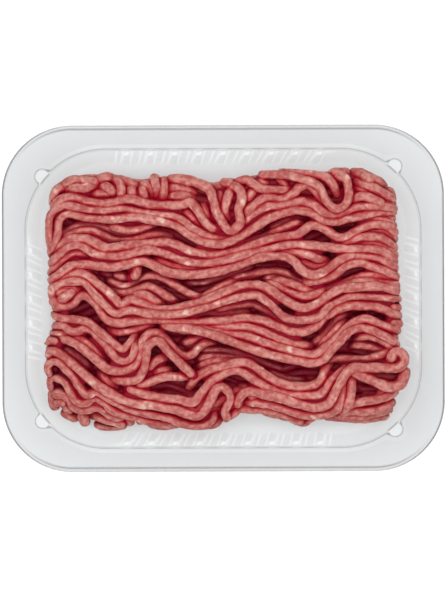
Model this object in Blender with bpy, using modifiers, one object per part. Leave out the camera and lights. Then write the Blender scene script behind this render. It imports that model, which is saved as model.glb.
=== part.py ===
"""Clear plastic meat tray holding a block of minced meat laid in wavy folds.

Units are metres and +Z is up. The origin is on the ground under the middle of
the tray, +X runs along its long side and +Y along its short side. The tray is
one thin formed shell, and the mince is one solid heap that lies on its floor.
"""

import math

import bmesh
import bpy
from mathutils import Vector

# The tray: overall size, the sheet it is formed from, and its mouth.
TRAY_LENGTH = 0.227
TRAY_WIDTH = 0.178
TRAY_HEIGHT = 0.040
SHEET = 0.0005
MOUTH_LENGTH = 0.2024
MOUTH_WIDTH = 0.1528
MOUTH_CORNER = 0.041
RIM_CORNER = 0.036

# The rim: a flat flange, with its outer edge rounded over and turned down.
LIP_DROP = 0.0024
LIP_ROUND = 0.0012
LIP_ROUND_STEPS = 2
MOUTH_ROUND = 0.0004

# The wall leans in towards the base and meets the floor in a round.
DRAFT = math.tan(math.radians(8.0))
BASE_ROUND = 0.008

# Upright ribs stiffen the straight stretches of the wall.
RIB_PITCH = 0.0125
RIB_WIDTH = 0.0068
RIB_DEPTH = 0.0013
RIB_TOP = 0.0345
RIB_CAP = 0.0035
RIBS_LONG_SIDE = 9
RIBS_SHORT_SIDE = 5

# A half-round pocket in each corner of the mouth keeps stacked trays apart.
POCKET_RADIUS = 0.0035
POCKET_SET_OUT = 0.0015
POCKET_DEPTH = 0.0038
POCKET_SHELF_SLOPE = 0.0003
POCKET_ANGLES = tuple(math.radians(angle) for angle in (49.0, 50.0, 40.0, 41.0))
POCKET_STEPS = 6

CORNER_STEPS = 8

# The mince: its outline, its height and the folds that run along it.
GAP = 0.0003
HEAP_LENGTH = 0.1895
HEAP_WIDTH = 0.1355
HEAP_CENTRE = Vector((0.0006, -0.0014))
HEAP_TOP = 0.0265
HEAP_CROWN = 0.0015
HEAP_SHOULDER = 0.010
HEAP_WAIST = 0.011
HEAP_WAIST_TUCK = 0.0018
HEAP_FOOT_TUCK = 0.0075
CORNER_PULL_X = 0.21
CORNER_PULL_Y = 0.29
EDGE_LOBES = ((5, 0.0008, 0.4), (9, 0.0008, 2.0), (14, 0.0007, 4.1))
FOLD_SPACING = 0.0215
FOLD_DEPTH = 0.005
FOLD_SWING = 0.0080
FOLD_SWING_LENGTH = 0.096
GRID_X = 52
GRID_Y = 36


def remove_all_objects():
    """Clear the scene that Blender opens with."""
    for obj in list(bpy.data.objects):
        bpy.data.objects.remove(obj, do_unlink=True)


def make_material(name, colour, roughness, alpha=1.0):
    """Return a Principled material of one colour."""
    material = bpy.data.materials.new(name)
    material.use_nodes = True
    shader = material.node_tree.nodes["Principled BSDF"]
    shader.inputs["Base Color"].default_value = (*colour, 1.0)
    shader.inputs["Roughness"].default_value = roughness
    shader.inputs["Metallic"].default_value = 0.0
    shader.inputs["Alpha"].default_value = alpha
    return material


def add_object(name, bm, material, collection):
    """Turn a bmesh into a smooth-shaded object in the collection."""
    bmesh.ops.recalc_face_normals(bm, faces=bm.faces)
    mesh = bpy.data.meshes.new(name)
    bm.to_mesh(mesh)
    bm.free()
    mesh.shade_smooth()
    mesh.set_sharp_from_angle(angle=math.radians(35.0))
    mesh.materials.append(material)
    obj = bpy.data.objects.new(name, mesh)
    collection.objects.link(obj)
    return obj


# --- tray -------------------------------------------------------------------


def corner_angles(pocket_angle):
    """Angles of a corner's points: even steps, and closer ones at the pocket."""
    reach = math.asin(POCKET_RADIUS / (MOUTH_CORNER + POCKET_SET_OUT))
    even = [math.pi / 2 * step / CORNER_STEPS for step in range(CORNER_STEPS + 1)]
    clear = [angle for angle in even if abs(angle - pocket_angle) > reach * 1.3]
    turns = [math.pi * (step / POCKET_STEPS - 0.5) for step in range(POCKET_STEPS + 1)]
    pocket = [pocket_angle + reach * math.sin(turn) for turn in turns]
    return sorted(clear + pocket)


def pocket_radius(angle, pocket_angle, corner):
    """Distance from the corner's centre to the mouth's edge, pocket included."""
    centre = MOUTH_CORNER + POCKET_SET_OUT
    across = centre * math.sin(angle - pocket_angle)
    inside = POCKET_RADIUS ** 2 - across ** 2
    if inside < -1e-12:
        return corner
    along = centre * math.cos(angle - pocket_angle) + math.sqrt(max(inside, 0.0))
    return max(corner, along)


def rib_stations(count):
    """Places along a wall where a rib's side or crown begins, with its depth."""
    stations = []
    for index in range(count):
        middle = (index - (count - 1) / 2) * RIB_PITCH
        for place, depth in ((-0.5, 0.0), (-0.22, 1.0), (0.22, 1.0), (0.5, 0.0)):
            stations.append((middle + place * RIB_WIDTH, depth))
    return stations


def ring(half_x, half_y, corner, z, rib_depth=None, pockets=False):
    """One level of the tray as eight stretches: a side, then its corner, four times.

    A side has points only where rib_depth is given, so plain levels stay light.
    """
    stretches = []
    for quarter in range(4):
        half_run = half_y if quarter % 2 == 0 else half_x
        half_out = half_x if quarter % 2 == 0 else half_y
        turn = quarter * math.pi / 2
        out = Vector((math.cos(turn), math.sin(turn)))
        run = Vector((-math.sin(turn), math.cos(turn)))
        side = []
        if rib_depth is not None:
            count = RIBS_SHORT_SIDE if quarter % 2 == 0 else RIBS_LONG_SIDE
            for place, depth in rib_stations(count):
                side.append(out * (half_out - depth * rib_depth) + run * place)
        centre = out * (half_out - corner) + run * (half_run - corner)
        pocket_angle = POCKET_ANGLES[quarter]
        bend = []
        for angle in corner_angles(pocket_angle):
            radius = corner
            if pockets:
                radius = pocket_radius(angle, pocket_angle, corner)
            bend.append(centre + (out * math.cos(angle) + run * math.sin(angle)) * radius)
        stretches.append([point.to_3d() + Vector((0.0, 0.0, z)) for point in side])
        stretches.append([point.to_3d() + Vector((0.0, 0.0, z)) for point in bend])
    return stretches


def wall_ring(z, rib_depth=None, pockets=False):
    """One level of the leaning wall, as far in from the mouth as its draft says."""
    inset = (TRAY_HEIGHT - z) * DRAFT
    return ring(MOUTH_LENGTH / 2 - inset, MOUTH_WIDTH / 2 - inset, MOUTH_CORNER - inset,
                z, rib_depth, pockets)


def rim_ring(turn):
    """One level of the rim's rounded edge: turn 0 is its foot, 1 the flange."""
    angle = turn * math.pi / 2
    inset = LIP_ROUND * (1.0 - math.cos(angle))
    drop = LIP_ROUND * (1.0 - math.sin(angle))
    return ring(TRAY_LENGTH / 2 - inset, TRAY_WIDTH / 2 - inset, RIM_CORNER - inset,
                TRAY_HEIGHT - drop)


def lip_ring():
    """The lowest level of the turned-down edge."""
    return ring(TRAY_LENGTH / 2, TRAY_WIDTH / 2, RIM_CORNER, TRAY_HEIGHT - LIP_DROP)


def floor_round_ring(turn):
    """One level of the round between wall and floor: turn 0 is its top, 1 the floor."""
    top_inset = (TRAY_HEIGHT - SHEET - BASE_ROUND) * DRAFT
    angle = turn * math.pi / 2
    inset = top_inset + BASE_ROUND * (1.0 - math.cos(angle))
    z = SHEET + BASE_ROUND * (1.0 - math.sin(angle))
    return ring(MOUTH_LENGTH / 2 - inset, MOUTH_WIDTH / 2 - inset, MOUTH_CORNER - inset, z)


def tray_levels():
    """The levels of the tray's inner and upper face, from the lip to the floor."""
    shelf = TRAY_HEIGHT - POCKET_DEPTH
    rib_foot = SHEET + BASE_ROUND + RIB_CAP
    rim = [rim_ring(step / LIP_ROUND_STEPS) for step in range(LIP_ROUND_STEPS + 1)]
    return [
        lip_ring(),
        *rim,
        ring(MOUTH_LENGTH / 2 + MOUTH_ROUND, MOUTH_WIDTH / 2 + MOUTH_ROUND,
             MOUTH_CORNER + MOUTH_ROUND, TRAY_HEIGHT, pockets=True),
        wall_ring(TRAY_HEIGHT - MOUTH_ROUND, pockets=True),
        wall_ring(shelf, pockets=True),
        wall_ring(shelf - POCKET_SHELF_SLOPE),
        wall_ring(RIB_TOP, rib_depth=0.0),
        wall_ring(RIB_TOP - RIB_CAP, rib_depth=RIB_DEPTH),
        wall_ring(rib_foot, rib_depth=RIB_DEPTH),
        wall_ring(SHEET + BASE_ROUND, rib_depth=0.0),
        floor_round_ring(0.35),
        floor_round_ring(0.7),
        floor_round_ring(1.0),
    ]


def bridge(bm, upper, lower):
    """Join two levels: quads where their points match, one flat face where not."""
    for index in range(0, 8, 2):
        before, after = index - 1, index + 1
        upper_run = [upper[before][-1], *upper[index], upper[after][0]]
        lower_run = [lower[before][-1], *lower[index], lower[after][0]]
        if len(upper_run) == len(lower_run):
            join_runs(bm, upper_run, lower_run)
        else:
            bm.faces.new(upper_run + lower_run[::-1])
        join_runs(bm, upper[after], lower[after])


def join_runs(bm, upper_run, lower_run):
    """Join two rows of points with a strip of quads."""
    for step in range(len(upper_run) - 1):
        bm.faces.new((upper_run[step], upper_run[step + 1],
                      lower_run[step + 1], lower_run[step]))


def build_tray(collection, material):
    """Build the tray: a lofted open surface, given its sheet thickness by Solidify."""
    bm = bmesh.new()
    levels = []
    for level in tray_levels():
        levels.append([[bm.verts.new(point) for point in stretch] for stretch in level])
    for upper, lower in zip(levels, levels[1:]):
        bridge(bm, upper, lower)
    bm.faces.new([vert for stretch in levels[-1] for vert in stretch])
    tray = add_object("tray", bm, material, collection)
    floor = max(tray.data.polygons, key=lambda polygon: polygon.area)
    if floor.normal.z < 0.0:
        tray.data.flip_normals()
    shell = tray.modifiers.new("sheet", "SOLIDIFY")
    shell.thickness = SHEET
    shell.offset = -1.0
    shell.use_even_offset = True


# --- mince ------------------------------------------------------------------


def edge_measure(u, v):
    """How far a point of the unit square is from its middle, 1 at the edge."""
    return min(1.0, (abs(u) ** 6 + abs(v) ** 6) ** (1 / 6))


def heap_outline(u, v):
    """Map a point of the unit square into the heap's rounded, uneven outline."""
    x = HEAP_LENGTH / 2 * u * math.sqrt(1.0 - CORNER_PULL_X * v ** 4)
    y = HEAP_WIDTH / 2 * v * math.sqrt(1.0 - CORNER_PULL_Y * u ** 4)
    place = Vector((x, y))
    angle = math.atan2(y, x)
    lobe = sum(depth * (math.sin(count * angle + phase) - 0.5)
               for count, depth, phase in EDGE_LOBES)
    if place.length > 0.0:
        place += place.normalized() * lobe * edge_measure(u, v) ** 4
    return place + HEAP_CENTRE


def fold_relief(x, y):
    """Depth below the crown of the furrows between folds that swing side to side."""
    wave = 2 * math.pi * x / FOLD_SWING_LENGTH
    swing = FOLD_SWING * (math.sin(wave + 0.8) + 0.35 * math.sin(2.3 * wave - 1.1))
    across = (y - swing) / FOLD_SPACING + 0.12 * math.sin(wave)
    furrow = math.cos(math.pi * across) ** 2
    strength = 0.7 + 0.3 * math.sin(1.4 * wave + 2 * math.pi * y / 0.07)
    return FOLD_DEPTH * furrow * strength


def heap_height(u, v, place):
    """Height of the heap's upper face: crowned, furrowed, and falling at its edge."""
    edge = edge_measure(u, v)
    crown = HEAP_CROWN * (1.0 - u * u) * (1.0 - v * v)
    furrow = fold_relief(place.x, place.y) * (1.0 - 0.6 * edge ** 12)
    return HEAP_TOP + crown - HEAP_SHOULDER * edge ** 10 - furrow


def add_heap_sides(bm):
    """Carry the upper face's edge down to a flat underside, tucking in as it goes."""
    foot = SHEET + GAP
    levels = ((HEAP_WAIST, 0.0),
              ((HEAP_WAIST + foot) / 2, HEAP_WAIST_TUCK),
              (foot, HEAP_FOOT_TUCK))
    rim = [edge for edge in bm.edges if edge.is_boundary]
    tuck = 0.0
    for z, next_tuck in levels:
        made = bmesh.ops.extrude_edge_only(bm, edges=rim)["geom"]
        rim = [item for item in made if isinstance(item, bmesh.types.BMEdge)]
        for vert in {vert for edge in rim for vert in edge.verts}:
            out = vert.co.to_2d() - HEAP_CENTRE
            place = HEAP_CENTRE + out * (1.0 - (next_tuck - tuck) / out.length)
            vert.co = (place.x, place.y, z)
        tuck = next_tuck
    bmesh.ops.contextual_create(bm, geom=rim)


def build_mince(collection, material):
    """Build the mince: one solid with a folded upper face and an uneven outline."""
    bm = bmesh.new()
    bmesh.ops.create_grid(bm, x_segments=GRID_X, y_segments=GRID_Y, size=1.0)
    for vert in bm.verts:
        u, v = vert.co.x, vert.co.y
        place = heap_outline(u, v)
        vert.co = (place.x, place.y, heap_height(u, v, place))
    add_heap_sides(bm)
    add_object("mince", bm, material, collection)


def main():
    """Build the tray and the mince."""
    remove_all_objects()
    collection = bpy.data.collections.new("meat_tray_pack")
    bpy.context.scene.collection.children.link(collection)
    clear = make_material("clear_plastic", (0.82, 0.84, 0.85), 0.08, alpha=0.35)
    meat = make_material("raw_mince", (0.47, 0.08, 0.07), 0.4)
    build_tray(collection, clear)
    build_mince(collection, meat)


main()
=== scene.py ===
"""Meat tray pack: minced meat laid in wavy strands in a clear ribbed tray.

The strands are laid one by one over a bed, as they are when the tray is filled, and the
tray is one thin formed shell. Routes and sizes are in millimetres until a mesh is made.
"""

import itertools
import logging
import math
from dataclasses import dataclass
from enum import Enum
from typing import NamedTuple, Union

import bpy
import numpy as np
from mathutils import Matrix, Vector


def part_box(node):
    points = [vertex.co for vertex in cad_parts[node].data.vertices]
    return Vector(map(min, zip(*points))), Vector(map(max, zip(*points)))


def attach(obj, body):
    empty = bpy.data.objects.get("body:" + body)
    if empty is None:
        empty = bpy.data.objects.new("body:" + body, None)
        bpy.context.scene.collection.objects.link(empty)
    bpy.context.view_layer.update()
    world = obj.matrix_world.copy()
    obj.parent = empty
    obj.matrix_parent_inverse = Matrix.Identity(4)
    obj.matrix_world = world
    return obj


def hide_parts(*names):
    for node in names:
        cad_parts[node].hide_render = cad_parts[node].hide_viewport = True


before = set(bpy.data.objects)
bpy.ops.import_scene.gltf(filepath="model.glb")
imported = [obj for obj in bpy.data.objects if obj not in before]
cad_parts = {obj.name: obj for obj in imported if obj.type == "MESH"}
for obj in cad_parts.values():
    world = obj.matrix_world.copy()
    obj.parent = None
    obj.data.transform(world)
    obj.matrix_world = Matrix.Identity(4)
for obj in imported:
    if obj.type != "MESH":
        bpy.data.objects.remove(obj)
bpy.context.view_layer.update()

log = logging.getLogger("meat_tray_pack")

MM = 0.001
ROOT_BODY = "root"


# --- materials --------------------------------------------------------------


class Wire:
    """A value on its way through a material's nodes, which adds up like a number."""

    def __init__(self, sheet: "NodeSheet", socket: bpy.types.NodeSocket) -> None:
        """Keep the sheet that the value is on and the socket that gives it."""
        self.sheet = sheet
        self.socket = socket

    def _math(self, operation: str, first: "Value", second: "Value") -> "Wire":
        """One Math node on two values."""
        return self.sheet.node("ShaderNodeMath", {"operation": operation},
                               {0: first, 1: second})

    def __add__(self, other: "Value") -> "Wire":
        """self + other."""
        return self._math("ADD", self, other)

    def __radd__(self, other: "Value") -> "Wire":
        """other + self."""
        return self._math("ADD", other, self)

    def __sub__(self, other: "Value") -> "Wire":
        """self - other."""
        return self._math("SUBTRACT", self, other)

    def __rsub__(self, other: "Value") -> "Wire":
        """other - self."""
        return self._math("SUBTRACT", other, self)

    def __mul__(self, other: "Value") -> "Wire":
        """self * other."""
        return self._math("MULTIPLY", self, other)

    def __rmul__(self, other: "Value") -> "Wire":
        """other * self."""
        return self._math("MULTIPLY", other, self)

    def rise(self, low: float, high: float) -> "Wire":
        """0 below low, 1 above high, and a smooth step between."""
        return self.sheet.node("ShaderNodeMapRange", {"interpolation_type": "SMOOTHSTEP"},
                               {"Value": self, "From Min": low, "From Max": high})


Value = Union[Wire, float]
Colour = tuple[float, float, float]
Tint = Union[Wire, Colour]


class NodeSheet:
    """The node tree of one material, and the one way that its nodes are made."""

    def __init__(self, name: str) -> None:
        """Start an empty material of that name."""
        self.material = bpy.data.materials.new(name)
        self.material.use_nodes = True
        self.tree = self.material.node_tree
        self.tree.nodes.clear()

    def node(self, kind: str, settings: dict, values: dict,
             output: Union[int, str] = 0) -> Wire:
        """Make a node, set it up, and feed its sockets.

        Args:
            kind: The node's type.
            settings: The node's own properties, set before its sockets.
            values: A number, a colour or a wire for each socket, by name or place.
            output: Which of the node's outputs comes back.

        Returns:
            The output as a wire.
        """
        made = self.tree.nodes.new(kind)
        for name, setting in settings.items():
            setattr(made, name, setting)
        for key, value in values.items():
            if isinstance(value, Wire):
                self.tree.links.new(value.socket, made.inputs[key])
            elif made.inputs[key].type == "RGBA":
                made.inputs[key].default_value = (*value, 1.0)
            else:
                made.inputs[key].default_value = value
        return Wire(self, made.outputs[output])

    def mix(self, factor: Value, first: Tint, second: Tint) -> Wire:
        """Blend two colours by a factor."""
        return self.node("ShaderNodeMix", {"data_type": "RGBA"},
                         {0: factor, 6: first, 7: second}, output=2)

    def tinted(self, colour: Wire, tint: Colour) -> Wire:
        """A colour multiplied by a tint."""
        return self.node("ShaderNodeVectorMath", {"operation": "MULTIPLY"},
                         {0: colour, 1: tint})

    def place(self) -> Wire:
        """The point in the piece's own space, in metres."""
        return self.node("ShaderNodeTexCoord", {}, {}, output="Object")

    def noise(self, vector: Wire, scale: float, detail: float) -> Wire:
        """A noise value from 0 to 1 over a vector."""
        return self.node("ShaderNodeTexNoise", {},
                         {"Vector": vector, "Scale": scale, "Detail": detail})

    def bump(self, height: Wire, distance: float) -> Wire:
        """A normal from a height that runs from 0 to 1 over that distance in metres."""
        return self.node("ShaderNodeBump", {}, {"Height": height, "Distance": distance})

    def finish(self, shader: Wire) -> bpy.types.Material:
        """Lead the shader to the surface and hand the material over."""
        surface = self.tree.nodes.new("ShaderNodeOutputMaterial").inputs["Surface"]
        self.tree.links.new(shader.socket, surface)
        return self.material


GRAIN_MAP = "Grain"
SHADE = "Shade"
# Painted shade of the sheet's folds and flange, and painted highlights on it.
SHEET_SHADE_AND_LIGHT = "SheetShadeAndLight"
NEAR_SLOPE = (0.042, 0.066)
SLOPE_FALL = 0.013


def slope_level(sheet: NodeSheet, place: Wire) -> Wire:
    """A point's height in metres, with the fall of the heap's near slope added back."""
    height = sheet.node("ShaderNodeSeparateXYZ", {}, {0: place}, "Z")
    nearer = 0.0 - sheet.node("ShaderNodeSeparateXYZ", {}, {0: place}, "Y")
    return height + nearer.rise(*NEAR_SLOPE) * SLOPE_FALL


@dataclass(frozen=True)
class MinceFinish:
    """Raw mince: mottled pink lean with flecks of fat, and painted shade that reddens and darkens it where strands
    meet and where they lie low.
    """

    name: str = "raw_mince"
    lean: Colour = (0.45, 0.095, 0.085)
    pale: Colour = (0.69, 0.295, 0.245)
    fat: Colour = (0.84, 0.58, 0.48)
    # The tints and colours from here down are painted shade, laid on where the meat is crowded, shut in or low.
    flank_shade_tint: Colour = (0.88, 0.30, 0.37)
    recess_shade_tint: Colour = (0.50, 0.40, 0.46)
    crease_shade_red: Colour = (0.42, 0.002, 0.024)
    deep: Colour = (0.19, 0.001, 0.012)
    roughness: float = 0.5
    recess_shade_heights: tuple = (0.0172, 0.0246)

    def make(self) -> bpy.types.Material:
        """Build the material.

        Returns:
            The material, which reads each point's crowding and the strands' grain, and paints shade into its colour
            where points are crowded, shut in or low.
        """
        sheet = NodeSheet(self.name)
        place = sheet.place()
        shade = sheet.node("ShaderNodeAttribute", {"attribute_name": SHADE}, {}, "Color")
        split = {"Color": shade}
        gap = sheet.node("ShaderNodeSeparateColor", {}, split, "Red")
        open_sky = sheet.node("ShaderNodeSeparateColor", {}, split, "Green")
        tone = sheet.node("ShaderNodeSeparateColor", {}, split, "Blue")
        grain = sheet.node("ShaderNodeUVMap", {"uv_map": GRAIN_MAP}, {})
        drawn = sheet.node("ShaderNodeVectorMath", {"operation": "MULTIPLY"},
                           {0: grain, 1: (2.2, 5.0, 1.0)})
        fibre = sheet.noise(drawn, 1.0, 2.0)
        mottle = sheet.noise(place, 430.0, 1.0)
        fine = sheet.noise(place, 1300.0, 2.0)
        flecks = sheet.noise(place, 210.0, 1.5)
        patches = sheet.noise(place, 85.0, 2.0)

        paleness = mottle * 1.0 + fibre * 0.9 + tone * 0.2 + fine * 0.15 + patches * 0.6
        colour = sheet.mix(paleness.rise(1.00, 1.75), self.lean, self.pale)
        fatty = flecks + patches * 0.5 + fibre * 0.2
        colour = sheet.mix(fatty.rise(0.99, 1.17) * 0.8, colour, self.fat)
        # Painted shade: strands that lie low and shut in are dulled to a dusky tint.
        above = slope_level(sheet, place).rise(*self.recess_shade_heights)
        recess_shade = (1.0 - open_sky).rise(0.30, 0.85) * (1.0 - above)
        # Painted shade: how shut in a point is, which reddens and darkens the strands' flanks and creases.
        shut = (1.0 - open_sky) * 0.85 + gap * 0.35 - recess_shade * 0.3
        uneven = (mottle - 0.5) * 0.25
        colour = sheet.mix(recess_shade.rise(0.02, 0.26), colour, sheet.tinted(colour, self.recess_shade_tint))
        flank_shaded = sheet.tinted(colour, self.flank_shade_tint)
        colour = sheet.mix(shut.rise(0.20, 0.60), colour, flank_shaded)
        # Painted shade: a saturated dark red in the creases where strands meet.
        colour = sheet.mix((shut + uneven).rise(0.58, 0.92), colour, self.crease_shade_red)
        # Painted shade: the lowest, most shut-in places go near-black red.
        colour = sheet.mix((recess_shade + uneven).rise(0.32, 0.62), colour, self.deep)

        relief = fine * 0.5 + fibre * 0.6 + mottle * 0.8
        shader = sheet.node("ShaderNodeBsdfPrincipled", {"subsurface_method": "RANDOM_WALK"}, {
            "Base Color": colour,
            "Roughness": self.roughness + (fine - 0.5) * 0.3,
            "Normal": sheet.bump(relief, 0.00045),
            "IOR": 1.4,
            "Specular IOR Level": 0.25,
            "Subsurface Weight": 0.12,
            "Subsurface Radius": (1.0, 0.25, 0.20),
            "Subsurface Scale": 0.0014,
        })
        return sheet.finish(shader)


@dataclass(frozen=True)
class PackedMeatFinish:
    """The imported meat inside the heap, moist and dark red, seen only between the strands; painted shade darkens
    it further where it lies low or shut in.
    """

    name: str = "packed_mince"
    # Painted shade: the near-black red that the core darkens to where it lies low or shut in.
    core_shade: Colour = (0.07, 0.001, 0.005)
    lean: Colour = (0.34, 0.002, 0.022)
    shaded_below: tuple = (0.0165, 0.0226)

    def make(self) -> bpy.types.Material:
        """Build the material and return it."""
        sheet = NodeSheet(self.name)
        place = sheet.place()
        grain = sheet.noise(place, 420.0, 4.0)
        shade = {"Color": sheet.node("ShaderNodeAttribute", {"attribute_name": SHADE}, {},
                                     "Color")}
        open_sky = sheet.node("ShaderNodeSeparateColor", {}, shade, "Green")
        above = slope_level(sheet, place).rise(*self.shaded_below)
        # Painted shade: the core darkens towards its near-black red where it lies low and shut in.
        high = above + open_sky.rise(0.3, 0.7) + (grain - 0.5) * 0.5
        shader = sheet.node("ShaderNodeBsdfPrincipled", {}, {
            "Base Color": sheet.mix(high.rise(0.0, 1.0), self.core_shade, self.lean),
            "Roughness": 0.45 + grain * 0.25,
            "Normal": sheet.bump(grain, 0.0006),
            "Specular IOR Level": 0.15,
        })
        return sheet.finish(shader)


@dataclass(frozen=True)
class ClearPlasticFinish:
    """Clear formed plastic sheet, with painted shade along its folds and on its flange, and painted highlights on
    its ribs, foot and pockets.
    """

    name: str = "clear_plastic"
    clear: Colour = (0.868, 0.880, 0.880)
    # Painted shade: the grey of the lines along the sheet's folds and of the flange.
    sheet_shade_tint: Colour = (0.455, 0.430, 0.430)
    # Painted light: a clearer tint for the painted highlights.
    highlight_clear: Colour = (0.980, 0.998, 0.998)
    gloss: Colour = (0.95, 0.95, 0.95)

    def make(self) -> bpy.types.Material:
        """Build the material.

        Returns:
            The material: a sheet in three tints, its clear tint darkened by painted shade at its folds and flange
                and cleared by painted highlights, under a
            gloss that strengthens as it is seen on edge.
        """
        sheet = NodeSheet(self.name)
        place = sheet.place()
        drawn = sheet.noise(place, 70.0, 2.0)
        haze = sheet.noise(place, 900.0, 3.0)
        normal = sheet.bump(drawn, 0.0005)
        formed = {"Color": sheet.node("ShaderNodeAttribute", {"attribute_name": SHEET_SHADE_AND_LIGHT}, {},
                                      "Color")}
        bent = sheet.node("ShaderNodeSeparateColor", {}, formed, "Red")
        painted_light = sheet.node("ShaderNodeSeparateColor", {}, formed, "Green")
        clear, sheet_shade_tint, highlight_clear = (sheet.node("ShaderNodeBsdfTransparent", {}, {"Color": tint})
                              for tint in (self.clear, self.sheet_shade_tint, self.highlight_clear))
        edge_on = sheet.node("ShaderNodeLayerWeight", {}, {"Blend": 0.5, "Normal": normal},
                             "Facing")
        # Painted shade: the clear tint darkens towards the grey tint along the folds and on the flange.
        sheet_shaded = sheet.node("ShaderNodeMixShader", {},
                              {0: bent + edge_on.rise(0.93, 1.0) * 0.06, 1: clear, 2: sheet_shade_tint})
        # Painted highlights: the sheet clears towards the bright tint on rib caps, streaks, foot and pockets.
        through_it = sheet.node("ShaderNodeMixShader", {},
                                {0: painted_light * (0.75 + haze * 0.5), 1: sheet_shaded, 2: highlight_clear})
        gloss = sheet.node("ShaderNodeBsdfPrincipled", {}, {
            "Base Color": self.gloss,
            "Metallic": 1.0,
            "Roughness": 0.22 + haze * 0.12,
            "Normal": normal,
        })
        mirror = sheet.node("ShaderNodeFresnel", {}, {"IOR": 1.45, "Normal": normal})
        return sheet.finish(sheet.node("ShaderNodeMixShader", {},
                                       {0: mirror * 0.035, 1: through_it, 2: gloss}))


@dataclass(frozen=True)
class TableFinish:
    """A plain white light table with a faint unevenness."""

    name: str = "white_table"
    light: Colour = (0.93, 0.93, 0.93)
    dark: Colour = (0.90, 0.90, 0.90)
    glow: float = 0.26

    def make(self) -> bpy.types.Material:
        """Build the material and return it."""
        sheet = NodeSheet(self.name)
        cloud = sheet.noise(sheet.place(), 6.0, 2.0)
        shader = sheet.node("ShaderNodeBsdfPrincipled", {}, {
            "Base Color": sheet.mix(cloud, self.light, self.dark),
            "Roughness": 0.75 + cloud * 0.1,
            "Emission Color": (1.0, 1.0, 1.0),
            "Emission Strength": self.glow,
        })
        return sheet.finish(shader)


# --- meshes -----------------------------------------------------------------


def make_piece(name: str, points: np.ndarray, faces: list, material: bpy.types.Material,
               smooth: bool = True) -> bpy.types.Object:
    """Make one mesh object.

    Args:
        name: The piece's name.
        points: Its points in millimetres, one a row.
        faces: Arrays of point numbers, one face a row, each array with its own width.
        material: What it is dressed in.
        smooth: Whether its faces shade smoothly.

    Returns:
        The object, linked to the scene.
    """
    mesh = bpy.data.meshes.new(name)
    mesh.vertices.add(len(points))
    mesh.vertices.foreach_set("co", (points * MM).astype(np.float32).ravel())
    corners = np.concatenate([array.ravel() for array in faces])
    widths = np.concatenate([np.full(len(array), array.shape[1]) for array in faces])
    starts = np.concatenate(([0], np.cumsum(widths)[:-1]))
    mesh.loops.add(len(corners))
    mesh.loops.foreach_set("vertex_index", corners.astype(np.int32))
    mesh.polygons.add(len(widths))
    mesh.polygons.foreach_set("loop_start", starts.astype(np.int32))
    mesh.polygons.foreach_set("use_smooth", np.full(len(widths), smooth))
    mesh.update(calc_edges=True)
    mesh.validate()
    mesh.materials.append(material)
    piece = bpy.data.objects.new(name, mesh)
    bpy.context.scene.collection.objects.link(piece)
    return piece


def note_points(piece: bpy.types.Object, name: str, *values: np.ndarray) -> None:
    """Keep up to three values at each point of a piece, for its material to read."""
    noted = np.ones((len(piece.data.vertices), 4), dtype=np.float32)
    for column, value in enumerate(values):
        noted[:, column] = value
    kept = piece.data.color_attributes.new(name, "FLOAT_COLOR", "POINT")
    kept.data.foreach_set("color", noted.ravel())


class Unevenness:
    """A smooth random field over space, the same on every run."""

    CELLS = 24

    def __init__(self, seed: int) -> None:
        """Draw the field's random values from a seed."""
        shape = (self.CELLS,) * 3
        self.values = np.random.default_rng(seed).uniform(-1.0, 1.0, shape)

    def at(self, points: np.ndarray, size: float) -> np.ndarray:
        """Read the field.

        Args:
            points: Places, one a row.
            size: How far apart its random values are.

        Returns:
            One value from -1 to 1 for each place.
        """
        spot = points / size
        base = np.floor(spot).astype(int)
        part = spot - base
        part = part * part * (3.0 - 2.0 * part)
        total = np.zeros(len(points))
        for corner in itertools.product((0, 1), repeat=3):
            share = np.where(corner, part, 1.0 - part).prod(axis=1)
            x, y, z = ((base + corner) % self.CELLS).T
            total += share * self.values[x, y, z]
        return total


def soften(values: np.ndarray, reach: float) -> np.ndarray:
    """Smooth a row of values, or rows of points, over a reach counted in steps."""
    half = int(math.ceil(reach * 2.5))
    steps = np.arange(-half, half + 1)
    weights = np.exp(-0.5 * (steps / reach) ** 2)
    weights /= weights.sum()
    rows = values.reshape(len(values), -1)
    padded = np.pad(rows, ((half, half), (0, 0)), mode="edge")
    smooth = [np.convolve(column, weights, mode="valid") for column in padded.T]
    return np.stack(smooth, axis=1).reshape(values.shape)


def through(points: np.ndarray, closed: bool = False) -> np.ndarray:
    """A dense smooth curve through a few points."""
    if closed:
        points = np.concatenate([points[-1:], points, points[:2]])
    else:
        points = np.concatenate([2 * points[:1] - points[1:2], points,
                                 2 * points[-1:] - points[-2:-1]])
    steps = np.linspace(0.0, 1.0, 12, endpoint=False)[:, None]
    parts = []
    for a, b, c, d in zip(points, points[1:], points[2:], points[3:]):
        parts.append(0.5 * (2 * b + (c - a) * steps + (2 * a - 5 * b + 4 * c - d) * steps ** 2
                            + (3 * b - a - 3 * c + d) * steps ** 3))
    parts.append(points[-2:-1])
    return np.concatenate(parts)


def travelled(curve: np.ndarray) -> np.ndarray:
    """The distance from a curve's start to each of its points."""
    strides = np.linalg.norm(np.diff(curve, axis=0), axis=1)
    return np.concatenate(([0.0], np.cumsum(strides)))


def pick(curve: np.ndarray, distances: np.ndarray) -> np.ndarray:
    """The points that lie at given distances along a curve."""
    along = travelled(curve)
    return np.stack([np.interp(distances, along, column) for column in curve.T], axis=1)


def evenly(curve: np.ndarray, stride: float) -> np.ndarray:
    """The same curve with its points one even stride apart."""
    length = travelled(curve)[-1]
    return pick(curve, np.linspace(0.0, length, max(3, int(round(length / stride)) + 1)))


# --- laying the strands -----------------------------------------------------


class End(Enum):
    """What a strand does where it stops."""

    BLUNT = "B"
    TUCK = "T"
    DOWN = "D"


class Lay(NamedTuple):
    """One strand as it is laid: its two ends, depths below the crown, and route."""

    ends: str
    depths: tuple
    route: tuple
    thickness: float = 1.0

    def end(self, which: int) -> End:
        """What the strand does at its start (0) or its finish (1)."""
        return End(self.ends[which])


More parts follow.
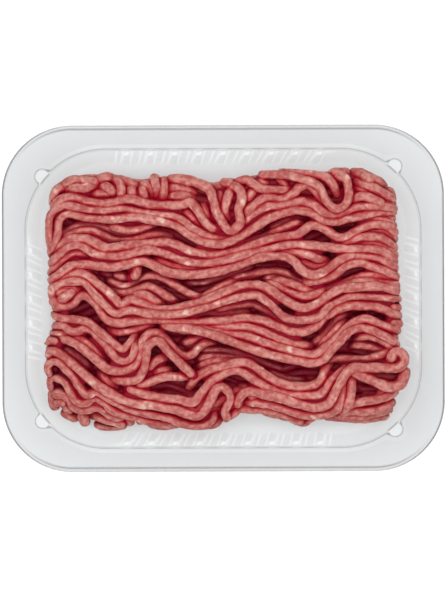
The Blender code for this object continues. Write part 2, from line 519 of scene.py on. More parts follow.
# Points round the heap, seen from above.
OUTLINE = (
    (-93, 44), (-91, 52), (-89, 59), (-84, 62), (-77, 65), (-67, 65), (-63, 66), (-58, 65), (-50, 64),
    (-43, 61), (-38, 61), (-36, 66), (-33, 65), (-25, 64), (-15, 64), (-8, 61), (-4, 59), (-2, 62),
    (5, 63), (12, 64), (18, 63), (19, 66), (22, 67), (35, 66), (45, 66), (52, 65), (56, 66), (58, 68),
    (64, 68), (73, 67), (78, 66), (84, 61), (90, 55), (91, 46), (92, 30), (92, 17), (93, 4), (94, -4),
    (94, -17), (91, -22), (95, -25), (97, -30), (97, -38), (94, -46), (93, -51), (91, -56), (89, -61),
    (88, -65), (76, -66), (66, -66), (55, -65), (51, -64), (49, -63), (46, -66), (42, -68), (38, -67),
    (32, -65), (24, -62), (16, -61), (9, -61), (4, -61), (4, -64), (1, -66), (-5, -68), (-12, -70),
    (-18, -69), (-28, -68), (-39, -68), (-44, -67), (-52, -68), (-62, -68), (-71, -68), (-75, -65),
    (-80, -64), (-84, -61), (-87, -58), (-91, -54), (-91, -45), (-93, -40), (-94, -32), (-94, -24),
    (-92, -19), (-91, -14), (-91, -7), (-89, -5), (-92, 0), (-93, 7), (-92, 20), (-93, 31),
)

FOLDS = {
    # Short lumps and upright folds along the far edge, left to right.
    "north_edge": (
        Lay("DT", (3, 1.5, 1), ((-89.5, 50), (-88, 55.5), (-85.5, 58), (-82, 57.5)), 1.05),
        Lay("TT", (1, .5, .5, 1), ((-84, 57), (-81, 60.5), (-76, 62), (-71.5, 61.5), (-67.5, 61),
            (-62, 61.5)), 1.05),
        Lay("TT", (.5, 0, 0, .5), ((-83, 57.5), (-77, 58), (-72, 57.5), (-68.5, 59), (-64, 60))),
        Lay("TT", (1.5, 1, 1), ((-71, 55), (-65, 55), (-60, 55.5), (-55, 53.5))),
        Lay("TT", (.5, 0, .5), ((-65, 58), (-61, 58.5), (-57.5, 56.5), (-55, 53.5)), 1.05),
        Lay("TT", (.5, 0, .5), ((-65.5, 62), (-61, 63.5), (-56.5, 62.5)), 1.05),
        Lay("TT", (0, -.5, 0, .5), ((-60, 62.5), (-56, 62), (-53.5, 59.5), (-53, 55), (-53, 49.5)), 1.05),
        Lay("TT", (1, .5, .5), ((-56, 63), (-50.5, 61.5), (-46.5, 59.5), (-43.5, 57.5)), 1.05),
        Lay("TT", (.5, .5, 1), ((-48.5, 61), (-47.5, 56.5), (-47, 50)), 1.05),
        Lay("TT", (1, .5, 1), ((-45, 58.5), (-40, 59), (-37.5, 57), (-37, 52.5))),
        Lay("TT", (.5, .5, 1), ((-42.5, 60), (-41.5, 56), (-41, 50)), 1.05),
        Lay("TT", (.5, 0, 1), ((-35, 65.5), (-35.5, 61), (-34.5, 57), (-34.5, 52))),
        Lay("TT", (.5, 0, 0), ((-31, 64), (-31, 58), (-31.5, 50.5)), 1.05),
        Lay("TT", (.5,), ((-31, 58), (-24.5, 58), (-18.5, 57), (-13, 55))),
        Lay("TT", (.5,), ((-31, 53.5), (-24.5, 54), (-18.5, 53.5), (-13.5, 51.5))),
        Lay("TT", (1, -1, -1.5, -1.5, -1.5, -1, 0), ((-29.5, 62), (-24.5, 62.5), (-16.5, 61.5),
            (-10.5, 59.5), (-6.5, 56), (-4.5, 49.5), (-3.5, 45.5), (0, 39), (3.5, 35), (6.5, 36),
            (9, 39.5), (8, 46), (10, 51.5), (9, 56), (6, 58.5), (1.5, 58.5)), 1.02),
        Lay("TT", (0, -.5, 0), ((5.5, 58.5), (3, 54.5), (1.5, 49.5), (1, 45), (3, 40))),
        Lay("TT", (3, 2, 2), ((-12.5, 52), (-10, 48.5), (-8.5, 43), (-6, 39))),
        Lay("TT", (4, 4, 4), ((-24.5, 48.5), (-18.5, 45), (-13, 39), (-8, 34.5))),
        Lay("TT", (4, 4), ((-5.5, 50), (-5, 44), (-2.5, 38))),
        Lay("TT", (3, 3), ((-1.5, 59.5), (-1.5, 54.5), (-2, 49), (-1, 44))),
        Lay("TT", (.5,), ((-1, 60.5), (1.5, 60.5), (5, 60.5))),
        Lay("TT", (1, 0, -.5, 0, .5), ((5.5, 59.5), (11.5, 62), (15.5, 60), (20, 57), (26, 56.5),
            (31.5, 56.5), (37.5, 58)), .95),
        Lay("TT", (0, 0, 1), ((28.5, 64), (31.5, 60.5), (34, 56.5)), .95),
        Lay("TT", (.5, 0, .5), ((17.5, 57.5), (14.5, 54), (12.5, 49))),
        Lay("TT", (1.5, 2), ((20.5, 63), (20.5, 60), (24.5, 59.5))),
        Lay("TT", (1, 0, 0, 0, -.5, 0, 1, 1.5), ((10.5, 40), (13, 45.5), (18.5, 50.5), (24, 53),
            (30.5, 52), (37, 55), (40, 58), (44.5, 59), (48.5, 55.5), (52, 50.5), (58.5, 46), (65, 47))),
        Lay("TD", (1, .5, 0, 0, 0, .5, .5, 0, 1), ((10.5, 35.5), (13, 41.5), (18.5, 45.5), (24, 48),
            (30, 48.5), (35.5, 49.5), (41, 50.5), (47.5, 48.5), (52, 45), (58.5, 43.5), (64, 45),
            (70.5, 47.5), (83, 47.5), (89, 46.5))),
        Lay("TT", (-.5, -1, -1.5, -1.5, -1.5, -.5), ((18.5, 64.5), (28, 64.5), (35.5, 63.5), (41, 62),
            (46, 60.5), (50.5, 57), (53, 52), (56, 48), (59.5, 46.5), (63.5, 48.5), (65.5, 52.5),
            (65.5, 57), (64.5, 61.5), (61, 63.5), (56, 64)), .9),
        Lay("TT", (0, -.5, -1, -1, 0), ((28.5, 65.5), (40.5, 65), (46.5, 64.5), (53.5, 63), (57, 60),
            (59, 56), (60.5, 52.5)), .92),
        Lay("TT", (.5, 0), ((55.5, 63.5), (58.5, 65.5), (61.5, 65.5), (66.5, 65.5))),
        Lay("TT", (1, .5, 1.5), ((66, 65.5), (70.5, 65.5), (76, 63.5), (81, 61), (86, 57))),
        Lay("TD", (0, 0, 1.5), ((68, 62), (72, 60), (76.5, 58), (83.5, 54.5), (88.5, 51.5))),
        Lay("TD", (.5, .5, 1.5), ((68, 58), (72, 56.5), (78.5, 53.5), (83.5, 51.5), (88.5, 48.5))),
        Lay("TT", (.5, 0, .5), ((64.5, 49), (69, 52), (73.5, 53), (79, 51), (83.5, 49), (88, 48.5))),
        Lay("TT", (-.5, .5), ((71, 65.5), (75.5, 62.5), (79, 59.5))),
        Lay("TD", (2, 3), ((86, 57), (88.5, 54), (88.5, 51.5))),
    ),
    # Long folds of the far half, from the far edge towards the middle.
    "north_folds": (
        Lay("DB", (2, .5, 0, .5, 0, -.5, 0), ((-88.5, 47.5), (-85, 51.5), (-78, 53.5), (-69, 50.5),
            (-58.5, 50), (-49, 52), (-39.5, 49.5), (-30.5, 48.5), (-21, 49), (-17.5, 50.5),
            (-14, 47), (-10.5, 41.5), (-7, 37.5), (-3, 35.5))),
        Lay("DT", (3.5, 1.5, .5, 0, 0, 0, .5, 0, 0, 0, .5, 1, 2), ((-90.5, 27.5), (-91, 32.5),
            (-91, 38), (-90.5, 42.5), (-88, 46.5), (-82, 49), (-73.5, 47.5), (-62.5, 46), (-51, 47),
            (-39.5, 44.5), (-29.5, 43.5), (-22.5, 41.5), (-14.5, 35.5), (-7, 32.5), (-0.5, 31),
            (5, 32.5), (10, 36.5))),
        Lay("DD", (3.5, 1.5, .5, 0, .5, 0, 0, .5, 0, 0, 0, .5, 1), ((-90.5, 24.5), (-88, 28.5),
            (-86.5, 33.5), (-86.5, 38.5), (-85, 43), (-80, 45), (-70.5, 42.5), (-58.5, 41.5),
            (-47.5, 42.5), (-32.5, 40.5), (-24.5, 38), (-16.5, 33), (-9.5, 29), (-1.5, 28.5), (5, 30.5),
            (11.5, 34), (18, 38), (24.5, 42), (35.5, 45.5), (41.5, 45.5), (47.5, 44), (52.5, 41),
            (59.5, 40), (65, 41.5), (80.5, 44.5), (89, 45))),
        Lay("TT", (2.5, 2, 2.5), ((-61, 41.5), (-57.5, 38.5), (-51.5, 36), (-44.5, 36.5), (-39.5, 38.5),
            (-33, 40))),
        Lay("TT", (5, 4, 5, 7, 7), ((-88.5, 27.5), (-84, 33.5), (-77, 38), (-69, 39), (-61.5, 37.5), (-53, 34.5),
            (-44, 33), (-34, 35), (-25, 34), (-15.5, 28.5), (-6, 25))),
        Lay("TT", (4.5, 3.5, 4, 6), ((-87.5, 26), (-81.5, 32.5), (-75.5, 35), (-69, 36), (-63, 33.5), (-56, 30.5),
            (-47, 30.5), (-38, 33), (-30, 33), (-21.5, 29))),
        Lay("TD", (5, 3, 2, 3), ((67.5, 37.5), (73, 40), (79, 41), (84.5, 40.5), (89.5, 38))),
        Lay("DD", (3, 1, 0, 0, .5, 0, 0, .5, .5, 0, 0, 0, 1, 2, 2, 2.5), ((-90.5, 23.5), (-86, 27.5),
            (-80, 31), (-72.5, 31.5), (-67.5, 29.5), (-61, 26.5), (-51, 27.5), (-39.5, 28.5), (-30, 29.3),
            (-24, 28), (-16, 24.3), (-6, 22.8), (7, 25), (16, 28), (24.5, 30.5), (32.5, 32), (39, 33),
            (44.5, 37), (48.5, 38), (53, 36), (58.5, 32.5), (63.5, 32), (69.5, 35), (75, 37.5),
            (80.5, 38.5), (86.5, 37.5), (90, 34))),
        Lay("TD", (3, 2.5, 2.5), ((68.5, 32.5), (75, 34.5), (82, 35.5), (87.5, 34), (90, 30.5))),
        Lay("TT", (5, 4, 3, 3), ((2.5, 26), (11.5, 29), (20.5, 32), (26.5, 34.5), (34, 37.5),
            (39, 39.5), (44.5, 38.5))),
        Lay("TT", (5, 5, 5), ((20.5, 35), (27.5, 38), (33.5, 40.5), (40.5, 42.5), (46.5, 41.5))),
        Lay("TD", (3, 1.5, .5, .5, 2), ((57.5, 26.5), (61.5, 28), (68, 30), (73, 31.5), (80.5, 31.5),
            (85.5, 29.5), (90, 26))),
        Lay("TD", (2.5, 1.5, 2), ((67.5, 26.5), (72.5, 28), (78, 28.5), (83.5, 26.5), (90, 22))),
        Lay("DD", (3, 1, 0, 0, .5, .5, 0, 0, 0, 0, 0, 0, 0, 2), ((-90, 18.5), (-86, 23), (-80, 27.5),
            (-73.5, 27.5), (-67, 23.5), (-58.5, 22), (-49, 23), (-39.5, 25.5), (-30, 23.5), (-20, 19.6),
            (-10, 18.5), (0, 19.9), (7, 21.7), (16, 24), (29.5, 27), (40, 28), (60, 26), (80.5, 25),
            (90, 19))),
        Lay("DT", (3, 2, 1.5, 3), ((-90.5, 13.5), (-87, 17.5), (-82.5, 21.8), (-78.5, 24.2), (-74, 24),
            (-68, 21.5))),
        Lay("DD", (3, 0, -.5, 0, 0, -.5, -.5, -.5, 0, -.5, -.5, -.5, 0, 1, 2), ((-90, 9.5), (-84, 13.5),
            (-78.5, 17.5), (-70.5, 18), (-58.5, 16.5), (-50.5, 18), (-43, 19.8), (-36.5, 17.4), (-30, 14.4),
            (-20, 12.6), (-10, 12.9), (0, 14.8), (10, 18.2), (20, 21.6), (31, 22), (37, 19), (41, 14.5), (46.5, 12),
            (52, 13.5), (61.5, 20), (67, 22), (73.5, 22), (82, 20.5), (90, 15.5))),
        Lay("TT", (2.5, 1.5, 2), ((-39, 21), (-33, 19.3), (-26, 16.8), (-18, 15.8), (-8, 16))),
        Lay("TT", (1.5, .5, 0, .5, 1.5), ((23.5, 23.5), (29.5, 24.5), (37.5, 24), (44.5, 22.5),
            (50.5, 20), (56, 19))),
        Lay("TT", (2, 2, 2), ((36.5, 21), (42.5, 18.5), (47, 16.5), (52, 17), (58, 20))),
        Lay("TD", (4, 2, .5, 0, .5, 1, 2), ((38, 9), (44.5, 8.5), (52, 9.5), (58, 12), (62.5, 15.5),
            (67.5, 18), (72.5, 18.5), (77.5, 16.5), (84, 14.5), (90.5, 11))),
        Lay("TD", (3, 2.5), ((75, 18), (81, 18), (86.5, 16.5), (90, 14.5))),
        Lay("TT", (6, 5, 4.5), ((-61, 14.5), (-56.5, 13), (-51.5, 11), (-47, 10.5))),
        Lay("BT", (1.5, 1, 1.5), ((-48.5, 11), (-46, 12.3), (-45.3, 15), (-46, 18.5)), 1.05),
        Lay("TT", (5, 4.5, 4, 4, 4.5), ((0, 8), (7, 11), (14, 12.5), (21, 14), (28, 14.5), (34, 12.5),
            (39, 9), (45, 7.5), (52, 7.5))),
        Lay("TT", (5, 4.5, 5), ((17, 9.5), (24, 10.5), (30, 9.5), (35, 6.5), (41, 5))),
        Lay("TT", (6, 5.5, 6), ((-24, 8), (-14, 8.5), (-5, 10.5), (4, 13), (12, 16), (20, 18.5))),
        Lay("TD", (4.5, 4, 3.5, 3, 2, 1.5, 2), ((20.5, 9.5), (27, 9), (35, 8), (41.5, 5.5), (47, 3.5),
            (54, 4), (61, 6.5), (69, 10), (76.5, 11.5), (85, 11.5), (90.5, 9))),
        Lay("TD", (3, 1.5, 1, 2), ((51.5, 1), (57.5, 3.5), (64, 6.5), (71.5, 8.5), (80, 8), (91, 6.5))),
    ),
    # The wide folds across the middle.
    "middle_folds": (
        Lay("DD", (3, 0, -.5, 0, .5, 1, 1, .5, .5, 0, -.5, -.5, -.5, 0, 0, 0, 0, .5, 2), ((-90, 5),
            (-86.5, 9.5), (-79.5, 12.5), (-72.5, 13), (-65, 7), (-59.5, 3), (-54.5, -2.5), (-52, -2.5),
            (-48.5, -0.5), (-44, -2), (-39, -4.5), (-32, -6), (-19, -4), (-6, 0.5), (7, 6), (13.5, 7),
            (20, 6.5), (26, 3.5), (32.5, -1), (38.5, -4.5), (44, -5), (50, -2.5), (56, 2), (62.5, 5),
            (72.5, 6), (82, 6), (91, 3.5))),
        Lay("DD", (3, 1, -.5, -.5, 0, 0, 0, 0, -.5, -1, -1, -.5, 0, 0, 0, 0, .5, 2), ((-89, 0),
            (-89.5, 4), (-86.5, 7), (-81.5, 9), (-75.5, 9.5), (-71.5, 8), (-66.5, 2), (-61, -4),
            (-55.5, -7.5), (-49, -6), (-36, -8), (-23, -8), (-8, -4.5), (5, 0), (16, 2), (20, 0.5),
            (24.5, -3), (31, -9), (37.5, -11), (44, -11), (50, -9.5), (55, -4.5), (61, -1), (67.5, 1),
            (81, 0.5), (91.5, -0.5))),
        Lay("BT", (1, .5, 1), ((-87.5, 2), (-83.5, 4.6), (-79, 5), (-73.5, 4.5)), 1.15),
        Lay("TT", (1, 0, 1), ((-88.5, 0), (-85.5, 0.2), (-82, 1.2), (-79.5, 3.5), (-76, 6)), 1.1),
        Lay("BD", (2, 1, .5, 0, 0, 1, 1.5, 2, 1.5, 1, .5, .5, 0, 0, 0, .5, 2), ((-89.5, 1), (-87.5, -2.5),
            (-82.5, -3.8), (-78, -2.2), (-75, 1.2), (-70.8, 1.2), (-66.5, -2.5), (-64, -6.5),
            (-61, -10.5), (-55.5, -12.5), (-49, -12), (-42.5, -11.5), (-34, -11), (-25.5, -12.5),
            (-14.5, -13), (3, -11.5), (11.5, -10.5), (20, -11.5), (27.5, -14.5), (35.5, -17.5),
            (41.5, -17.5), (48.5, -14.5), (52.5, -10), (57.5, -7), (65, -4), (72.5, -4), (80.5, -5),
            (92, -9.5))),
        Lay("TT", (3, 2.5, 3), ((-63, -14), (-59.5, -16), (-54, -17), (-47.5, -16), (-40.5, -14),
            (-34, -12.5))),
        Lay("TT", (6, 5, 4.5, 3.5, 3, 3, 3, 3.5, 4.5), ((-64.5, 13), (-60.5, 10.5), (-55.5, 7.5),
            (-50.5, 6.5), (-45, 10), (-40.5, 12), (-34.5, 12), (-29, 9.5), (-25.5, 7.5), (-19.5, 4),
            (-14.5, 1.5), (-9.5, 1), (-4, 4.5), (9.5, 11.5))),
        Lay("TT", (6, 5, 3, 2.5, 3), ((-67, 8.5), (-61.5, 5.5), (-56.5, 3.5), (-51, 3), (-45, 5),
            (-40, 6.5), (-34.5, 4.5), (-28.5, 0.5), (-22.5, -2.5))),
        Lay("TT", (2.5, 2, 2), ((-50.5, 0.5), (-45.5, 2), (-40.5, 1.5), (-35, -2), (-30, -4))),
        Lay("TT", (7, 7, 6), ((-70, 14), (-65, 14.5), (-58.5, 12), (-53, 11.5))),
        Lay("TT", (3, 2.5, 3.5), ((-14.5, -2), (-6, 2.5), (2.5, 7), (10.5, 10))),
        Lay("TT", (3.5, 3, 2.5, 2.5, 2), ((19, 9), (25, 7), (30, 5), (35, 3), (40, 1.5), (45.5, 1.5),
            (51, 3), (56.5, 6.5))),
        Lay("TT", (4.5, 4, 4, 4, 4.5), ((-8, -7), (-1, -5), (8, -3.5), (15, -3), (21, -5.5), (27, -9),
            (33, -13))),
        Lay("TT", (5.5, 5, 5.5), ((-20, -8), (-10, -7.5), (0, -8), (10, -7.5), (18, -8.5))),
        Lay("TT", (2, 1, .5, .5, .5, .5, 1, 2), ((-33, -12), (-27.5, -14.5), (-20.5, -16), (-12, -16),
            (-4.5, -15), (5, -15), (12.5, -15), (21, -17.5), (29, -21), (36, -23.5), (42.5, -25),
            (48, -25.5))),
        Lay("TD", (1.5, 0, 0, 0, 0, 0, 0, 0, 0, .5, 2), ((-19.5, -16.5), (-10, -16.5), (-4, -18),
            (3, -19), (11.5, -19.5), (20, -22.5), (29.5, -25.5), (40, -28.5), (46.5, -29.5), (51, -28),
            (55, -24.5), (59.5, -20.5), (64, -16), (69, -12.5), (74.5, -11), (81, -13.5), (91.5, -17))),
        Lay("TD", (2, .5, -1, -1, -1, -.5, -.5, 0, 0, 0, .5, 2), ((-34, -10), (-29.5, -14),
            (-23.5, -15), (-16.5, -16), (-10, -17.5), (1, -21), (13.5, -26), (21.5, -28.5),
            (29.5, -30.5), (41, -33), (47.5, -33.5), (52, -32), (56.5, -27), (62, -21.5), (66, -17.5),
            (71.5, -15.5), (76.5, -16.5), (83.5, -19.5), (90.5, -24.5))),
        Lay("TD", (3, 1.5, 1.5, 3), ((67.5, -22.5), (72.5, -20), (78, -20), (84.5, -23), (90.5, -27))),
        Lay("TT", (3, 3, 3.5, 4), ((45, -25.5), (50, -22), (55, -17), (58.5, -12), (63, -9),
            (68.5, -7.5))),
        Lay("TT", (2, 1.5, 2), ((48.5, -27), (53.5, -22.5), (58, -18), (61.5, -14), (66, -11))),
    ),
    # The deep U of folds at the left, and the corner in front of it.
    "near_left_folds": (
        Lay("DT", (3, .5, 0, 0, 0, .5, 2), ((-88.5, -8.5), (-84, -10.5), (-77.5, -11), (-70.5, -12.5),
            (-66, -16), (-62, -19.5), (-58, -23), (-55, -25.5), (-52, -26.5), (-49.5, -24),
            (-47, -20.5), (-44.5, -17.5))),
        Lay("DT", (3, 1, .5, 0, 0, 0, .5, 2), ((-88.5, -14.5), (-84, -14), (-79.5, -17), (-76, -17.5),
            (-73, -16), (-69, -16.5), (-65, -20.5), (-61.5, -24.5), (-57.5, -29.5), (-55, -32),
            (-52, -33), (-49, -32), (-46.5, -28.5), (-45.5, -23.5), (-44, -19.5))),
        Lay("DT", (4, 2, 1, 1), ((-89.5, -18.5), (-84, -18.5), (-77, -20.5), (-71.5, -23.5),
            (-66.5, -28), (-62.5, -32.5))),
        Lay("TT", (2, .5, 0, 0, -.5, -.5, 1, 2, 3, 3), ((-87.5, -19.5), (-80, -22), (-73, -26),
            (-66.5, -31.5), (-62, -35.5), (-56.5, -37.5), (-52, -37.5), (-48, -36), (-44.5, -32.5),
            (-43, -27.5), (-42, -22.5), (-39.5, -19), (-35.5, -18), (-31.5, -20.5), (-27, -25),
            (-22.5, -29), (-19, -30), (-15.5, -28.5), (-13, -25.5), (-9, -23), (-2.5, -23.5))),
        Lay("TB", (1.5, 0, 0, 0, -.5, -1.5, -2, -2, -1.5), ((-60.5, -41.5), (-55, -42.5), (-49.5, -43),
            (-44.5, -41.5), (-41.5, -36), (-40.5, -30.5), (-39.5, -25.5), (-36.5, -22.5),
            (-33.5, -22.5), (-29.5, -27), (-24, -32.5), (-19.5, -36.5), (-15.5, -40.5)), .92),
        Lay("TT", (3, 2.5, 2.5), ((-66.5, -36.5), (-63.5, -40.5), (-59.5, -44), (-54.5, -46.5))),
        Lay("BT", (1, .5, 2), ((-40, -37), (-36, -33), (-31.5, -31), (-27.5, -30))),
        Lay("BT", (0, 0, .5, 1), ((-46, -44.8), (-40.5, -44.2), (-35, -42.5), (-29, -41), (-23, -41),
            (-16.5, -40))),
        Lay("TT", (2, 2), ((-38.5, -40), (-32, -37.5), (-26, -37))),
        Lay("TT", (4.5, 4), ((-25, -24), (-17.5, -22.5), (-10, -19), (-3, -20))),
        Lay("TT", (5, 5), ((-87, -24.5), (-80, -28), (-73, -33), (-67, -38.5))),
        Lay("TT", (7, 7, 7), ((-89.5, -37), (-85.5, -38), (-82, -42), (-79.5, -46.5))),
        Lay("BB", (2, 2), ((-92, -21.5), (-91.6, -24.2))),
        Lay("DD", (3, 1, 0, 0, 0, 0, 0, .5, 1, 0, -.5, .5, 2), ((-91.5, -29.5), (-90.5, -27),
            (-87, -28), (-82, -31.5), (-76.8, -35.6), (-70.2, -41.5), (-64.5, -46), (-58.5, -49.5),
            (-52, -53), (-45, -55), (-37.5, -55.5), (-29, -57), (-24.5, -58), (-18.5, -60.5),
            (-13.5, -61.5), (-9, -57), (-4.5, -48.5), (-1, -46.5), (3, -49.5), (3.5, -53.5), (1, -58.5),
            (2, -62.5))),
        Lay("DT", (4, 1.5, 1, 1, 2, 2.5, 2.5, 3, 3, 3, 3, 4, 5, 5), ((-91, -40), (-92, -35.5),
            (-89.5, -33), (-86, -33.3), (-82.3, -36.5), (-78.5, -40.5), (-75.5, -45.5), (-72.5, -49.5),
            (-69.5, -49.5), (-66.5, -48.5), (-62, -51), (-56, -54.5), (-49, -58), (-38.5, -60.5),
            (-29, -62.5), (-20.5, -66), (-12.5, -67), (-6.5, -64), (-4, -56.5))),
        Lay("DT", (7, 4, 4, 5, 5.5, 5.5, 5.5, 6, 7, 8, 9), ((-90.5, -47), (-91, -43), (-89, -41),
            (-86, -41.5), (-83, -43.5), (-81, -47), (-79.5, -50), (-77.5, -53), (-74.5, -54.5),
            (-71.5, -54), (-69, -52.5), (-66, -52.5), (-62, -55), (-59.5, -57.5), (-55, -60),
            (-49, -61.5), (-41.5, -64), (-31, -66), (-23, -66.5)), 1.03),
        Lay("BT", (11, 8, 7.5, 8, 8.5, 8.5, 8, 9, 10, 11), ((-91, -50.5), (-89, -48.5), (-85.5, -48.5),
            (-82.5, -51), (-80.5, -54), (-78.5, -57), (-75.5, -58.5), (-72, -58.5), (-69, -57.5),
            (-66, -57.5), (-63, -59), (-60, -61.5), (-55, -63), (-49.5, -63)), 1.05),
        Lay("BB", (8, 8.5, 10, 11.5), ((-90, -48), (-90.3, -51.5), (-89.5, -55.5), (-87.5, -58.5)), 1.1),
        Lay("BB", (10, 11, 12), ((-84.5, -52.5), (-83.8, -55.5), (-82, -58), (-79.5, -59.5)), 1.1),
        Lay("BB", (12, 13), ((-85.5, -58.5), (-83.5, -61), (-80.5, -62.5), (-76.5, -63.5)), 1.05),
        Lay("BB", (9, 11.5, 14), ((-76, -59.5), (-74.5, -63), (-73.5, -66), (-73, -67.5)), 1.15),
        Lay("TB", (10, 11, 12), ((-70, -59), (-67, -62), (-62.5, -64), (-57, -65.5), (-51.5, -66.5))),
        Lay("BB", (15, 15, 14), ((-69, -66), (-65, -67.5), (-60, -68), (-55, -67.5), (-51.5, -66.5))),
        Lay("TB", (9, 11, 14), ((-50.5, -61), (-49.5, -65), (-49, -67.5)), 1.05),
        Lay("TB", (10, 12, 14), ((-45.5, -61), (-44, -64.5), (-43, -66.5)), 1.05),
        Lay("BB", (13, 15), ((-41, -65), (-36, -67), (-30, -67.5), (-24, -67))),
        Lay("BT", (1, .5, .5, .5, 0, -.5, 0, 0, 0, 1), ((-50.5, -46.5), (-44, -49), (-36.5, -51),
            (-29, -52.5), (-24, -53), (-18.5, -54.5), (-15, -54), (-12, -50), (-7, -44), (-2, -40.5),
            (4, -38), (9, -38.5), (14, -41), (19, -44.3), (25.2, -48), (32.6, -50.2), (40, -51), (48, -51),
            (52.5, -48.5), (56, -43.5), (60.5, -39.5), (66, -35))),
        Lay("TT", (2.5, 2, 1.5, 2, 2), ((-52, -54), (-44, -52.5), (-36, -53.5), (-28, -55),
            (-19.5, -57.5), (-14, -58.5), (-10, -53.5), (-5.5, -47.5), (-1, -43))),
    ),
    # The folds, loops and loose ends of the near right part.
    "near_right_folds": (
        Lay("TT", (6, 6, 6, 7), ((-25, -26.5), (-17.5, -24.5), (-9, -26.5), (-1, -27), (8.5, -29),
            (17, -32), (25.5, -35.5), (35, -39))),
        Lay("TT", (5, 5, 5), ((-17.5, -33), (-10, -31), (-2, -30.5), (6.5, -31.5), (14, -33.5),
            (20, -36.5))),
        Lay("TT", (4, 3.5, 3.5), ((-16.5, -38), (-9.5, -34.5), (-2, -33), (6.5, -34), (14, -37.5))),
        Lay("TT", (2.5, 1.5, 1, .5, 0, 0, 0, 1, 2.5), ((-19.5, -48), (-14.5, -42), (-8.5, -38),
            (-2.5, -36), (5, -34), (11, -33.7), (15, -35.2), (21.5, -40), (29, -44.3), (36.4, -46),
            (43.8, -46.2), (48.5, -45), (51.5, -42), (53, -37.5), (58, -33.5))),
        Lay("TT", (5, 5, 5), ((20, -36), (25.5, -39.5), (32, -42.5), (40, -43.5), (46.5, -42.5))),
        Lay("TT", (3.5, 3, 3), ((6.5, -45), (11.5, -47), (15.5, -51), (20, -53))),
        Lay("BB", (1.5, .5, 0, 0, 0, -.5, -1, -1, -1, -.5, 0), ((7, -57.5), (8, -52.5), (11.5, -49),
            (16, -48.5), (21.5, -50), (29.5, -52), (40, -55.5), (48.5, -57), (55, -55), (58, -49.5),
            (61, -43.5), (65, -38), (69, -36), (76.5, -36.5), (84.5, -36.5), (91, -36.2), (94.5, -33),
            (93.2, -29), (90, -28), (88, -30.5), (86.5, -34)), 1.02),
        Lay("TD", (5, 7), ((5.5, -55.5), (7, -59), (1.5, -62.5))),
        Lay("TT", (3.5, 3, 3.5, 4, 3), ((10, -54), (17, -54.5), (25.5, -55.5), (33.5, -58.5), (42, -61),
            (49.5, -61), (55.5, -60), (60, -56.5), (62, -51.5))),
        Lay("BB", (6, 6, 8, 11), ((6.5, -58), (15, -58.5), (23.5, -58.5), (31, -60.5), (38, -64.5),
            (42.5, -65.5))),
        Lay("BB", (14, 13, 10), ((39, -65), (42, -66), (44.5, -65), (49, -61))),
        Lay("TB", (12, 13), ((20.5, -60), (29.5, -62), (36, -64))),
        Lay("BB", (12, 13), ((-1, -64.5), (2, -62.5), (8, -59))),
        Lay("TT", (9, 10, 9, 8), ((-25, -66), (-17.5, -66.5), (-10, -67), (-3.5, -65.5), (-1, -60))),
        Lay("TT", (0, 0, 1, 3), ((67, -37), (66.5, -43), (66.5, -49), (65, -55.5), (61, -61))),
        Lay("TT", (.5, .5, 1.5, 3), ((63.5, -39), (62, -45.5), (61.5, -52), (59.5, -57.5), (54.5, -61.5))),
        Lay("BB", (0, -.5, 0, 0, 1), ((66, -38), (70, -39.8), (76, -42.2), (81.2, -44.8), (87, -46.6),
            (92.3, -45), (94.3, -40.5), (95, -36)), 1.12),
        Lay("TD", (2, 2, 3), ((61.5, -59), (66, -56), (73.5, -54), (81, -53), (90.5, -49.5))),
        Lay("TD", (4, 4, 5), ((60, -62.5), (66, -59.5), (74.5, -59.5), (83, -58), (89, -55))),
        Lay("TD", (7, 7), ((58, -61), (67.5, -62), (78, -61), (88, -58.5))),
        Lay("BD", (11, 12), ((52.5, -62), (63, -63.5), (75, -64), (86.5, -62.5))),
        Lay("TD", (4, 3.5, 4), ((50.5, -35), (57, -32), (66.5, -32), (75.5, -32), (83, -29.5),
            (89.5, -26))),
        Lay("TD", (4.5, 4, 5), ((63.5, -27), (69.5, -24.5), (77, -25.5), (84, -27.5), (90.5, -29))),
        Lay("TD", (9, 9), ((67.5, -49), (74, -49.5), (82.5, -50), (91, -48))),
        Lay("TT", (8, 8), ((67.5, -45.5), (75, -47.5))),
        Lay("TT", (2, 1.5), ((84, -39), (87.5, -35), (90.5, -31))),
        Lay("BB", (4.5, 4), ((77.5, -40), (84, -41), (91, -41))),
    ),
}


def eased(share: np.ndarray) -> np.ndarray:
    """A share from 0 to 1, with a soft start and finish."""
    share = np.clip(share, 0.0, 1.0)
    return share * share * (3.0 - 2.0 * share)


